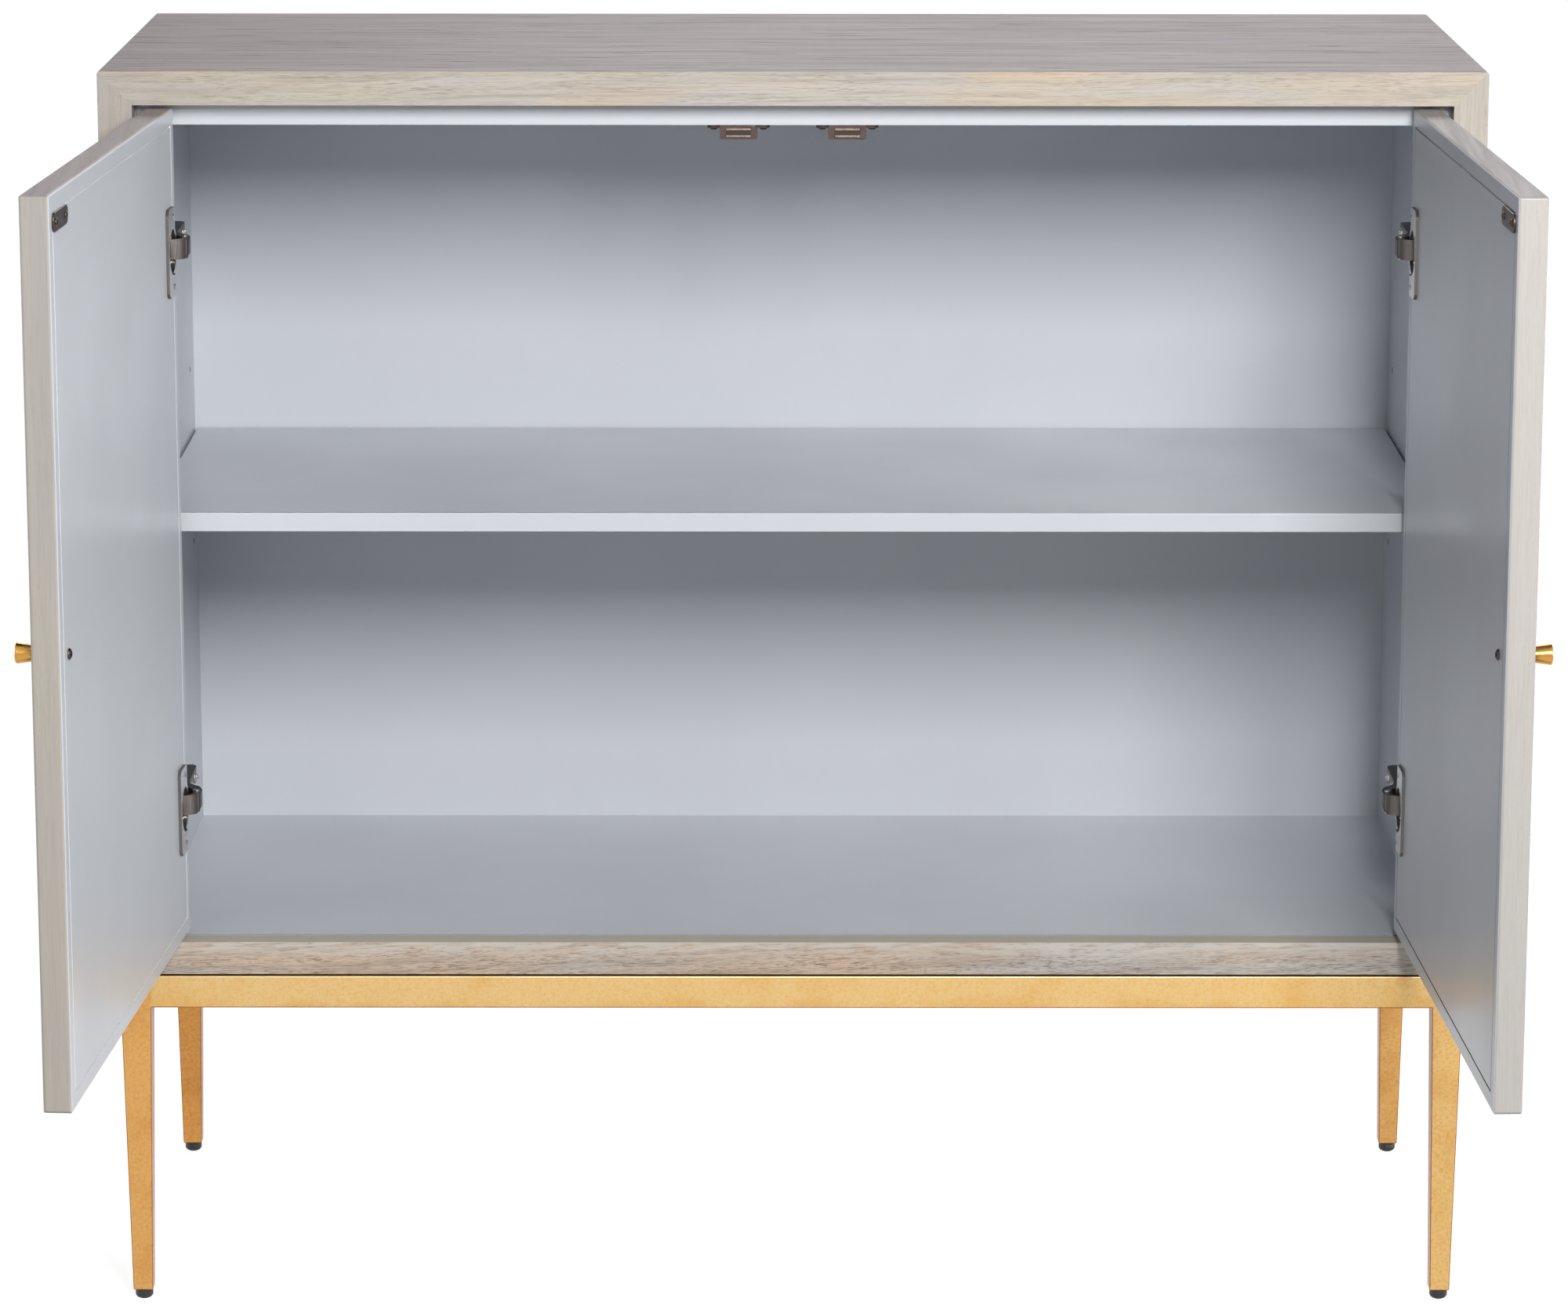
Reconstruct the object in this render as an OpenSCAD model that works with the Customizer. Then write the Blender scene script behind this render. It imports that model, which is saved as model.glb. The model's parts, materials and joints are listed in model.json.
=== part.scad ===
// Two-door accent cabinet: mitred veneered case on a low gilded base, doors standing open.
// Origin: floor level under the middle of the case. +X to the right as the cabinet is faced,
// +Y to its back, +Z up. Millimetres, real size.

/* [Case] */
// overall width of the case
case_w = 1016; // [700:1:1400]
// depth of the case, front to back
case_d = 406; // [300:1:500]
// height of the case without the base
case_h = 682; // [450:1:900]
// thickness of the veneered boards
board_t = 25; // [18:1:32]
// radius on the outer corners of the case
case_corner_r = 2.2; // [0.5:0.1:5]
// how far the rear panel stands in from the back edges
back_inset = 6.5; // [2:0.5:15]
// thickness of the painted rear panel
back_t = 6; // [3:0.5:12]
// how deep the rear panel sits in its grooves
back_seat = 6; // [3:0.5:10]

/* [Lining] */
// thickness of the painted side and floor linings
lining_t = 3; // [2:0.5:6]
// how far those linings stand proud of the boards
lining_proud = 1; // [0.5:0.1:2]
// thickness of the painted stop panel under the top
stop_t = 17; // [10:1:25]
// clear depth kept behind the shut doors
stop_gap = 3.2; // [2.5:0.1:6]

/* [Shelf] */
// thickness of the shelf
shelf_t = 15; // [12:1:22]
// underside of the case top down to the shelf's top face
shelf_drop = 308; // [200:1:420]
// how far the shelf stands back from the front of the case
shelf_setback = 30; // [20:1:120]
// gap at each end of the shelf
shelf_gap = 2.2; // [1:0.1:4]
// diameter of the shelf pins
pin_d = 5; // [4:0.5:7]
// height step between pin holes
pin_step = 70; // [32:1:96]
// front and rear hole rows, in from the front and from the back of the case
pin_row = [62, 43]; // [20:1:120]

/* [Doors] */
// door thickness
door_t = 20; // [16:0.5:24]
// gap along the hinge edge
gap_side = 2; // [1.5:0.1:4]
// gap between the shut doors
gap_mid = 2; // [1.5:0.1:4]
// gap above the doors
gap_top = 3; // [1.5:0.1:4]
// gap below the doors
gap_bottom = 6.5; // [2:0.1:8]
// radius on the door edges
door_r = 2; // [0.5:0.1:4]
// inset of the fine groove on the inner face
groove_in = 12; // [8:0.5:25]
// width and depth of that groove
groove_size = [1.3, 1.0]; // [0.5:0.1:3]
// how far the left door stands open
open_left = 93.8; // [0:0.1:100]
// how far the right door stands open
open_right = 92; // [0:0.1:100]

/* [Hinges] */
// cup diameter
cup_d = 35; // [26:0.5:40]
// cup depth from the inner face
cup_depth = 11.5; // [9:0.1:13]
// centre of the cup in from the hinge edge of the door
cup_in = 22; // [19:0.5:26]
// hinge centres, in from the inside faces of the top and bottom boards
hinge_in = 106; // [70:1:200]
// height of the cup's flange plate
flange_h = 65; // [52:1:70]
// spacing of the two flange screws
flange_screws = 52; // [42:1:56]
// mean axis that the door turns about, in from the side and back from the front
turn_axis = [12, 4]; // [0:0.5:20]
// pin at the nose of the arm, in from the side and back from the front
nose_pin = [34.9, 14.7]; // [10:0.5:50]
// length of the outer link from the nose pin to its tip
link_len = 17.6; // [12:0.5:24]
// direction of the outer link with the door at ninety-three point six degrees
link_dir = 232.5; // [200:1:260]
// turns of the link for one turn of the door, opposite in sense
link_share = 0.755; // [0:0.01:1]
// bow of the link away from a straight line
link_bow = 5.1; // [0:0.1:8]
// screws that clamp the arm to its base plate, back from the front of the case
arm_screws_in = [66, 92]; // [50:1:110]
// back end of the arm and the face of its long flat, in from the side
arm_end = [26, 108]; // [20:1:120]
// outer face of the arm's screw heads, in from the side
arm_head_out = 27.6; // [24:0.1:34]

/* [Knobs and catches] */
// knob diameter at the door and at the outer end
knob_d = [10.2, 14.4]; // [8:0.1:24]
// knob length
knob_len = 16; // [10:0.5:30]
// centre of the knob in from the free edge
knob_in = 29; // [20:1:60]
// strike plate length, height and thickness
strike = [50, 13, 1.5]; // [1:0.5:80]
// centre of the strike plate in from the free edge
strike_in = 34; // [20:1:80]
// catch housing width, depth and height
catch_size = [27.6, 22, 10.6]; // [5:0.1:60]
// width over the ears of a catch
catch_ears = 46; // [30:0.5:70]
// centre of each catch from the middle of the cabinet
catch_x = 40; // [20:1:80]
// stop panel screws: middle of each pair in from the side, half their spacing, back from the panel's front
stop_screws = [120, 90, 60]; // [20:1:200]

/* [Base] */
// floor to the underside of the case
base_h = 260; // [120:1:400]
// height and thickness of the rails
rail = [25, 22]; // [15:1:40]
// thickness of the dark packing between rails and case
packing_t = 2; // [1:0.5:4]
// how far the packing stands in from the face of the rails
packing_in = 7; // [3:1:12]
// how far the base stands in from the case, at the ends and at the front and back
base_in = [0.6, 2]; // [0:0.1:20]
// leg width at the top and at the foot
leg_w = [23, 15]; // [10:0.5:40]
// height of the black glides
glide_h = 8; // [4:0.5:15]
// glide diameter
glide_d = 13.5; // [8:0.5:20]

/* [Hidden] */
$fn = 48;
e = 0.01;
half_w = case_w/2;
half_in = half_w - board_t;            // inside face of a side board
front_y = -case_d/2;
back_y = case_d/2;
top_z = base_h + case_h;
floor_z = base_h + board_t;            // top face of the bottom board
ceil_z = top_z - board_t;              // underside of the top board
back_face = back_y - back_inset - back_t;
line_y = front_y + door_t;             // front edge of the thin linings
stop_y = front_y + door_t + stop_gap;  // front face of the stop panel
stop_z = ceil_z - stop_t;
floor_top = floor_z + lining_proud;
side_x = half_in - lining_proud;       // face of a side lining
shelf_top = ceil_z - shelf_drop;
shelf_bot = shelf_top - shelf_t;
pin_z = shelf_bot - pin_d/2;
pin_rows = [front_y + pin_row[0], back_y - pin_row[1]];
pin_head = [7.5, 4.5];                 // head diameter and its length off the wall
hole_deep = 9;
door_w = half_in - gap_side - gap_mid/2;
door_z = [floor_z + gap_bottom, ceil_z - gap_top];
hinge_z = [floor_z + hinge_in, ceil_z - hinge_in];
cup_x = gap_side + cup_in;
mid_z = (door_z[0] + door_z[1])/2;
knob_x = gap_side + door_w - knob_in;
strike_x = gap_side + door_w - strike_in;
catch_z = stop_z - catch_size[2];
strike_z = stop_z - 5.4;
rail_top = base_h - packing_t;
rail_bot = rail_top - rail[0];
leg_x = half_w - base_in[0] - leg_w[0]/2;
leg_y = case_d/2 - base_in[1] - leg_w[0]/2;
run = 0.05;                            // running clearance on radius
screw_d = 3;
plate_y = door_t + 37;                 // screw line of the hinge plates
link_half = 7.9;                       // half length of a link's cross pin

// corners of a w by h rectangle with rounded corners
function rr(w, h, r, n = 4) = [for (c = [[w - r, h - r, 0], [r, h - r, 90], [r, r, 180], [w - r, r, 270]])
  for (i = [0:n]) [c[0] + r*cos(c[2] + 90*i/n), c[1] + r*sin(c[2] + 90*i/n)]];
function cw(p, a) = [p[0]*cos(a) + p[1]*sin(a), -p[0]*sin(a) + p[1]*cos(a)];
// a point of the shut door carried to the opening angle a
function swung_pt(p, a) = turn_axis + cw(p - turn_axis, a);

// a block given by its low and high corners
module span(lo, hi) translate(lo) cube([hi[0] - lo[0], hi[1] - lo[1], hi[2] - lo[2]]);
module along_y(d, l) rotate([-90, 0, 0]) cylinder(d = d, h = l);
module along_x(d, l) rotate([0, 90, 0]) cylinder(d = d, h = l);

// local space of one side: x in from the side board, y back from the front of the case
module at_side(s) {
  if (s < 0) translate([-half_in, front_y, 0]) children();
  else mirror([1, 0, 0]) translate([-half_in, front_y, 0]) children();
}
// carries a shut door's piece to where the door stands
module swung(s) at_side(s) translate([turn_axis[0], turn_axis[1], 0])
  rotate([0, 0, s < 0 ? -open_left : -open_right]) translate([-turn_axis[0], -turn_axis[1], 0]) children();

// veneered boards: the rounded outer ring of the case cut at forty-five degrees
module ring_quarter(quad) intersection() {
  translate([0, back_y, 0]) rotate([90, 0, 0]) linear_extrude(case_d)
    translate([-half_w, base_h]) polygon(rr(case_w, case_h, case_corner_r));
  translate([0, back_y + 1, 0]) rotate([90, 0, 0]) linear_extrude(case_d + 2) polygon(quad);
}
// groove that the rear panel slides in
module back_groove(play = 0.1) span([-half_in - back_seat - play, back_face, floor_z - back_seat - play],
  [half_in + back_seat + play, back_face + back_t, ceil_z + back_seat + play]);
module top_panel() color([0.64, 0.62, 0.60]) difference() {
  ring_quarter([[-half_w, top_z], [-half_in, ceil_z], [half_in, ceil_z], [half_w, top_z]]);
  back_groove();
  for (s = [-1, 1], x = [-1, 1]) translate([s*(half_in - stop_screws[0]) + x*stop_screws[1], stop_y + stop_screws[2], ceil_z - e])
    cylinder(d = screw_d + 2*run, h = 10);
}
module bottom_panel() color([0.78, 0.74, 0.67]) difference() {
  ring_quarter([[-half_w, base_h], [half_w, base_h], [half_in, floor_z], [-half_in, floor_z]]);
  back_groove();
  span([-side_x, line_y, floor_top - lining_t], [side_x, back_face, floor_z + e]);
  for (x = base_screws()) translate([x[0], x[1], base_h - e]) cylinder(d = screw_d + 2*run, h = 12);
}
module side_board(s) difference() {
  ring_quarter([[s*half_w, base_h], [s*half_in, floor_z], [s*half_in, ceil_z], [s*half_w, top_z]]);
  back_groove();
  at_side(s) {
    span([-(lining_t - lining_proud), door_t, floor_z], [e, back_face - front_y, ceil_z]);
    side_holes(hole_deep);
    plate_holes();
  }
}
module left_side_panel() color([0.76, 0.72, 0.66]) side_board(-1);
module right_side_panel() color([0.76, 0.72, 0.66]) side_board(1);

// pin holes and hinge plate pilot holes, drawn in the space of one side
module side_holes(deep) for (y = pin_rows, k = [-1, 0, 1])
  translate([lining_proud - deep, y - front_y, pin_z + k*pin_step]) along_x(pin_d + 2*run, deep + 1);
module plate_holes() for (z = hinge_z, k = [-16, 16])
  translate([-8, plate_y, z + k]) along_x(screw_d + 2*run, 12);

// painted inside
module side_lining(s) difference() {
  at_side(s) span([lining_proud - lining_t, door_t, floor_z], [lining_proud, back_face - front_y, ceil_z]);
  at_side(s) { side_holes(hole_deep); plate_holes(); }
}
module left_lining() color([0.72, 0.74, 0.76]) side_lining(-1);
module right_lining() color([0.72, 0.74, 0.76]) side_lining(1);
module floor_lining() color([0.70, 0.72, 0.74])
  span([-side_x, line_y, floor_top - lining_t], [side_x, back_face, floor_top]);
module top_stop_panel() color([0.82, 0.84, 0.86]) difference() {
  span([-side_x, stop_y, stop_z], [side_x, back_face, ceil_z]);
  for (s = [-1, 1], k = [-1, 1]) translate([s*catch_x + k*(catch_ears/2 - 4.6), stop_y + 8, stop_z - e])
    cylinder(d = screw_d + 2*run, h = 11);
  for (s = [-1, 1], x = [-1, 1]) translate([s*(half_in - stop_screws[0]) + x*stop_screws[1], stop_y + stop_screws[2], stop_z - e]) {
    cylinder(d = screw_d + 2*run, h = stop_t + 1);
    cylinder(d1 = 6.2, d2 = screw_d, h = 3);
  }
}
module stop_panel_screws() color([0.5, 0.5, 0.5]) for (s = [-1, 1], x = [-1, 1])
  translate([s*(half_in - stop_screws[0]) + x*stop_screws[1], stop_y + stop_screws[2], stop_z]) {
    cylinder(d1 = 6, d2 = screw_d, h = 2.8);
    cylinder(d = screw_d, h = stop_t + 8);
  }
module back_panel() color([0.76, 0.78, 0.79]) back_groove(0);
module shelf() color([0.80, 0.82, 0.84]) {
  lx = side_x - shelf_gap;
  ly = back_face - 1 - front_y - shelf_setback;
  translate([-lx, front_y + shelf_setback, shelf_bot]) intersection() {
    cube([2*lx, ly, shelf_t]);
    translate([0, ly, 0]) rotate([90, 0, 90]) linear_extrude(2*lx) translate([-ly, 0]) polygon(rr(ly, shelf_t, 0.8, 2));
  }
}
module shelf_pins() color([0.72, 0.72, 0.72]) for (s = [-1, 1], y = pin_rows) at_side(s)
  translate([lining_proud, y - front_y, pin_z]) {
    translate([-(hole_deep - 0.5), 0, 0]) along_x(pin_d, hole_deep - 0.5 + e);
    difference() {
      along_x(pin_head[0], pin_head[1]);
      translate([-1, -6, pin_d/2]) cube([8, 12, 6]);
    }
  }

// magnetic catches under the stop panel
module catch_body(s) color([0.34, 0.25, 0.20]) translate([s*catch_x, stop_y + 1, 0]) difference() {
  union() {
    translate([-catch_size[0]/2, catch_size[1], catch_z]) rotate([90, 0, 0])
      linear_extrude(catch_size[1]) polygon(rr(catch_size[0], catch_size[2], 1.2, 3));
    for (k = [-1, 1]) translate([k*(catch_ears/2 - 4.6), 7, stop_z - 2.4]) {
      cylinder(d = 9.2, h = 2.4);
      translate([k > 0 ? -6 : 0, -4.6, 0]) cube([6, 9.2, 2.4]);
    }
  }
  for (k = [-1, 1]) translate([k*(catch_ears/2 - 4.6), 7, stop_z - 3]) cylinder(d = screw_d + 2*run, h = 4);
  translate([-9.1, -1, strike_z - 3.4]) cube([18.2, 17, 6.8]);
}
module left_catch() catch_body(-1);
module right_catch() catch_body(1);
module catch_plates() color([0.75, 0.75, 0.74]) for (s = [-1, 1], k = [-1, 1])
  translate([s*catch_x - 9, stop_y - 1.3, strike_z + k*2.55 - 0.75]) cube([18, 18, 1.5]);
module catch_magnets() color([0.12, 0.12, 0.12]) for (s = [-1, 1])
  translate([s*catch_x - 9, stop_y + 0.6, strike_z - 1.8]) cube([18, 15, 3.6]);
module catch_screws() color([0.42, 0.33, 0.27]) for (s = [-1, 1], k = [-1, 1])
  translate([s*catch_x + k*(catch_ears/2 - 4.6), stop_y + 8, stop_z - 2.4]) {
    cylinder(d = screw_d, h = 12.4);
    translate([0, 0, -1.9]) pan_head(5.6, 1.9);
  }
// pan head pointing down, its flat on top, with a crossed recess
module pan_head(d, h) difference() {
  union() {
    translate([0, 0, h*0.45]) cylinder(d = d, h = h*0.55);
    cylinder(d1 = d*0.62, d2 = d, h = h*0.45);
  }
  for (a = [0, 90]) rotate([0, 0, a]) translate([-d*0.26, -d*0.06, -1]) cube([d*0.52, d*0.12, 1 + h*0.55]);
}

// one door, drawn shut
module door_board(s) difference() {
  intersection() {
    translate([gap_side, 0, door_z[0]]) linear_extrude(door_z[1] - door_z[0]) polygon(rr(door_w, door_t, door_r));
    translate([gap_side, 0, door_z[0]]) rotate([90, 0, 90]) linear_extrude(door_w)
      polygon(rr(door_t, door_z[1] - door_z[0], door_r));
    translate([gap_side, door_t, door_z[0]]) rotate([90, 0, 0]) linear_extrude(door_t)
      polygon(rr(door_w, door_z[1] - door_z[0], door_r));
  }
  difference() {
    span([gap_side + groove_in, door_t - groove_size[1], door_z[0] + groove_in],
      [gap_side + door_w - groove_in, door_t + 1, door_z[1] - groove_in]);
    span([gap_side + groove_in + groove_size[0], 0, door_z[0] + groove_in + groove_size[0]],
      [gap_side + door_w - groove_in - groove_size[0], door_t + 2, door_z[1] - groove_in - groove_size[0]]);
  }
  for (z = hinge_z) {
    translate([cup_x, door_t - cup_depth - 0.3, z]) along_y(cup_d + 2*run, cup_depth + 2);
    for (k = [-1, 1]) translate([cup_x, door_t - 11, z + k*flange_screws/2]) along_y(screw_d + 2*run, 13);
  }
  for (k = [-1, 1]) translate([strike_x + k*(strike[0]/2 - 8), door_t - 11, strike_z]) along_y(screw_d + 2*run, 13);
  translate([knob_x, -1, mid_z]) along_y(4 + 2*run, door_t + 2);
}
module left_door_panel() color([0.70, 0.72, 0.74]) swung(-1) door_board(-1);
module right_door_panel() color([0.70, 0.72, 0.74]) swung(1) door_board(1);

// steel cup with its flange plate, drawn in the shut door
module hinge_cup() let (f = [cup_d/2 + 2.5, flange_h/2]) difference() {
  union() {
    translate([0, -cup_depth, 0]) along_y(cup_d, cup_depth + 0.6);
    translate([0, 1.2, 0]) rotate([90, 0, 0]) linear_extrude(1.2) {
      circle(d = cup_d + 5);
      // straight edge towards the free edge of the door, with its corners cut
      polygon([[0, -f[1]], [f[0] - 4, -f[1]], [f[0], 4 - f[1]], [f[0], f[1] - 4], [f[0] - 4, f[1]], [0, f[1]]]);
      for (k = [-1, 1]) {
        translate([0, k*(flange_h/2 - 5.5)]) circle(r = 5.5);
        polygon([[-15, k*12], [-4.9, k*(flange_h/2 - 3)], [4.9, k*(flange_h/2 - 3)], [15, k*12]]);
      }
    }
  }
  difference() {
    translate([0, -cup_depth + 1, 0]) along_y(cup_d - 2, cup_depth + 2);
    // cheeks that guide the link's cross pin
    for (k = [-1, 1]) translate([-17, -cup_depth, k*(link_half + 1) - 0.6]) cube([22, cup_depth - 1, 1.2]);
  }
  for (k = [-1, 1]) translate([0, -1, k*flange_screws/2]) along_y(screw_d + 2*run, 4);
}
module door_cups(s) color([0.56, 0.55, 0.54]) swung(s) for (z = hinge_z) translate([cup_x, door_t, z]) hinge_cup();
module left_hinge_cups() door_cups(-1);
module right_hinge_cups() door_cups(1);
module face_screw(d, h, shank) { along_y(screw_d, 0.1); translate([0, -shank, 0]) along_y(screw_d, shank);
  rotate([90, 0, 0]) translate([0, 0, -h]) pan_head(d, h); }
module cup_screws(s) color([0.62, 0.61, 0.60]) swung(s) for (z = hinge_z, k = [-1, 1])
  translate([cup_x, door_t + 1.2, z + k*flange_screws/2]) face_screw(6.6, 1.9, 11.5);
module left_cup_screws() cup_screws(-1);
module right_cup_screws() cup_screws(1);

// arm: a channel cranked from the side board out to the nose pin
module arm_shape() {
  translate(nose_pin) circle(r = 3);
  polygon([[32.6, 13.2], [37.9, 14.4], [38.2, 21.5], [38, 27], [35.4, 36], [28, 45], [arm_end[0], 52],
    [arm_end[0], arm_end[1] - 4], [arm_end[0] - 3, arm_end[1]], [12.5, arm_end[1]], [12.5, 50], [16, 44], [30, 30], [31.6, 22]]);
}
module hinge_arm() difference() {
  translate([0, 0, -5.9]) linear_extrude(11.8) arm_shape();
  translate([-1.5, -0.4, -4.6]) linear_extrude(9.2) {
    polygon([[31.0, 12.0], [36.6, 12.2], [36.6, 21.6], [36.5, 27], [34.2, 35], [26.8, 44.2], [arm_end[0] - 0.4, 52],
      [arm_end[0] - 0.4, arm_end[1] - 4], [arm_end[0] - 3.4, arm_end[1] + 3], [10, arm_end[1] + 3], [10, 48], [16, 42], [28, 29], [30, 22]]);
  }
  translate([nose_pin[0], nose_pin[1], -8]) cylinder(d = 3 + 2*run, h = 16);
  translate([33, 25.5, -8]) cylinder(d = 2.5 + 2*run, h = 16);
  for (i = [0, 1]) translate([arm_end[0] - 4, arm_screws_in[i], 0]) along_x(6 - i, 8);
}
module arms(s) color([0.52, 0.51, 0.50]) at_side(s) for (z = hinge_z) translate([0, 0, z]) hinge_arm();
module left_hinge_arms() arms(-1);
module right_hinge_arms() arms(1);
// base plate screwed to the side lining, with the raised rib that the arm straddles
module base_plate() difference() {
  union() {
    translate([lining_proud, plate_y - 9, -24.5]) cube([2.4, 18, 49]);
    translate([lining_proud, plate_y - 13, -4.3]) cube([9, 60, 8.6]);
    translate([lining_proud, plate_y - 6, -4.3]) cube([17, 48, 8.6]);
    for (k = [-1, 1]) translate([lining_proud, plate_y, k*16]) along_x(11, 5);
  }
  for (k = [-16, 16]) translate([lining_proud - 1, plate_y, k]) along_x(screw_d + 2*run, 8);
  for (y = arm_screws_in) translate([9, y, 0]) along_x(4 + 2*run, 12);
}
module plates(s) color([0.60, 0.59, 0.58]) at_side(s) for (z = hinge_z) translate([0, 0, z]) base_plate();
module left_hinge_plates() plates(-1);
module right_hinge_plates() plates(1);
module plate_screws() color([0.62, 0.61, 0.60]) for (s = [-1, 1]) at_side(s) for (z = hinge_z, k = [-16, 16])
  translate([lining_proud + 5, plate_y, z + k]) {
    translate([-13, 0, 0]) along_x(screw_d, 13);
    rotate([0, -90, 0]) translate([0, 0, -1.9]) pan_head(6.6, 1.9);
  }
module arm_screws() color([0.66, 0.65, 0.64]) for (s = [-1, 1]) at_side(s) for (z = hinge_z, i = [0, 1])
  translate([0, arm_screws_in[i], z]) {
    translate([9.5, 0, 0]) along_x(4, 15.5);
    rotate([0, -90, 0]) translate([0, 0, -arm_head_out]) pan_head(7 + 1.4*i, 1.6);
  }
module arm_pins() color([0.66, 0.65, 0.64]) for (s = [-1, 1]) at_side(s) for (z = hinge_z) {
  translate([nose_pin[0], nose_pin[1], z]) {
    translate([0, 0, -7.9]) cylinder(d = 3, h = 15.8);
    for (k = [-1, 1]) translate([0, 0, k*8.2 - 0.3]) cylinder(d = 4.6, h = 0.6);
  }
  translate([33, 25.5, z - 6.4]) cylinder(d = 2.5, h = 12.8);
}
// bowed outer link: two cheeks and a web, drawn from the nose pin towards the cup
function bow_at(t) = link_bow*4*t*(1 - t);
module link_outline(w, t0, t1) {
  n = 8;
  ts = [for (i = [0:n]) t0 + (t1 - t0)*i/n];
  polygon(concat([for (t = ts) [link_len*t, bow_at(t) - w]], [for (i = [n:-1:0]) [link_len*ts[i], bow_at(ts[i]) + w]]));
}
module hinge_link() difference() {
  union() {
    for (k = [-1, 1]) translate([0, 0, k*6.85 - 0.65]) linear_extrude(1.3) {
      link_outline(1.7, 0, 1);
      circle(r = 2.7);
      translate([link_len, 0]) circle(r = 1.7);
    }
    translate([link_len, 0, -link_half]) cylinder(r = 1.2, h = 2*link_half);
    translate([0, 0, -7.5]) linear_extrude(15) intersection() {
      link_outline(1.7, 0.24, 0.98);
      translate([0, 0.7]) polygon(concat([for (i = [0:8]) [link_len*i/8, bow_at(i/8)]], [[link_len, 9], [0, 9]]));
    }
  }
  translate([0, 0, -9]) cylinder(d = 3 + 2*run, h = 18);
}
module links(s) color([0.62, 0.60, 0.57]) at_side(s) for (z = hinge_z) translate([nose_pin[0], nose_pin[1], z])
  rotate([0, 0, link_dir + link_share*((s < 0 ? open_left : open_right) - 93.6)]) hinge_link();
module left_hinge_links() links(-1);
module right_hinge_links() links(1);

// knob with a slightly domed end, turned about its own axis
module knob_body() rotate([90, 0, 0]) difference() {
  rotate_extrude() polygon(concat([[0, 0], [knob_d[0]/2, 0], [knob_d[1]/2 - 0.15, knob_len - 2.2]],
    [for (a = [0:22.5:90]) [knob_d[1]/2 - 1 + cos(a), knob_len - 1.6 + sin(a)*1.1]], [[3, knob_len - 0.1], [0, knob_len]]));
  translate([0, 0, -1]) cylinder(d = 4 + 2*run, h = 10);
}
module left_knob() color([0.80, 0.62, 0.35]) swung(-1) translate([knob_x, 0, mid_z]) knob_body();
module right_knob() color([0.80, 0.62, 0.35]) swung(1) translate([knob_x, 0, mid_z]) knob_body();
module knob_screw(s) color([0.28, 0.25, 0.24]) swung(s) translate([knob_x, door_t, mid_z]) {
  translate([0, -(door_t + 8), 0]) along_y(4, door_t + 8);
  rotate([90, 0, 0]) translate([0, 0, -2.6]) pan_head(8.6, 2.6);
}
module left_knob_screw() knob_screw(-1);
module right_knob_screw() knob_screw(1);

module strike_plate(s) color([0.26, 0.22, 0.21]) swung(s) difference() {
  translate([strike_x - strike[0]/2, door_t + strike[2], strike_z - strike[1]/2]) rotate([90, 0, 0])
    linear_extrude(strike[2]) polygon(rr(strike[0], strike[1], 5.5, 6));
  for (k = [-1, 1]) translate([strike_x + k*(strike[0]/2 - 8), door_t - 1, strike_z]) along_y(screw_d + 2*run, 4);
}
module left_strike_plate() strike_plate(-1);
module right_strike_plate() strike_plate(1);
module strike_screws(s) color([0.30, 0.24, 0.22]) swung(s) for (k = [-1, 1])
  translate([strike_x + k*(strike[0]/2 - 8), door_t + strike[2], strike_z]) face_screw(6, 1.4, 11.5);
module left_strike_screws() strike_screws(-1);
module right_strike_screws() strike_screws(1);

// gilded base
function base_screws() = [for (s = [-1, 1], x = [0.25, 0.75]) [(2*x - 1)*leg_x, s*(leg_y)]];
module rail_block(lo, hi) difference() {
  span([lo[0], lo[1], rail_bot], [hi[0], hi[1], rail_top]);
  for (p = base_screws()) translate([p[0], p[1], rail_bot - e]) {
    cylinder(d = screw_d + 2*run, h = rail[0] + 1);
    cylinder(d = 7, h = 4);
  }
}
rail_o = [half_w - base_in[0], case_d/2 - base_in[1]];
rail_cut = leg_w[0];
module front_rail() color([0.85, 0.68, 0.42])
  rail_block([-(rail_o[0] - rail_cut), -rail_o[1]], [rail_o[0] - rail_cut, -rail_o[1] + rail[1]]);
module rear_rail() color([0.85, 0.68, 0.42])
  rail_block([-(rail_o[0] - rail_cut), rail_o[1] - rail[1]], [rail_o[0] - rail_cut, rail_o[1]]);
module end_rail(s) color([0.85, 0.68, 0.42]) if (s < 0)
  rail_block([-rail_o[0], -(rail_o[1] - rail_cut)], [-rail_o[0] + rail[1], rail_o[1] - rail_cut]);
  else rail_block([rail_o[0] - rail[1], -(rail_o[1] - rail_cut)], [rail_o[0], rail_o[1] - rail_cut]);
module left_rail() end_rail(-1);
module right_rail() end_rail(1);
// square leg that narrows on all four faces below the rails
module leg(sx, sy) color([0.83, 0.64, 0.36]) difference() {
  translate([sx*leg_x, sy*leg_y, 0]) {
    a = leg_w[0]/2;
    b = leg_w[1]/2;
    translate([-a, -a, rail_bot]) cube([2*a, 2*a, rail[0]]);
    polyhedron(points = [[-b, -b, glide_h], [b, -b, glide_h], [b, b, glide_h], [-b, b, glide_h],
      [-a, -a, rail_bot], [a, -a, rail_bot], [a, a, rail_bot], [-a, a, rail_bot]],
      faces = [[0, 1, 2, 3], [4, 7, 6, 5], [0, 4, 5, 1], [1, 5, 6, 2], [2, 6, 7, 3], [3, 7, 4, 0]]);
  }
  translate([sx*leg_x, sy*leg_y, 0]) cylinder(d = 5 + 2*run, h = glide_h + 14);
}
module front_left_leg() leg(-1, -1);
module front_right_leg() leg(1, -1);
module rear_left_leg() leg(-1, 1);
module rear_right_leg() leg(1, 1);
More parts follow.
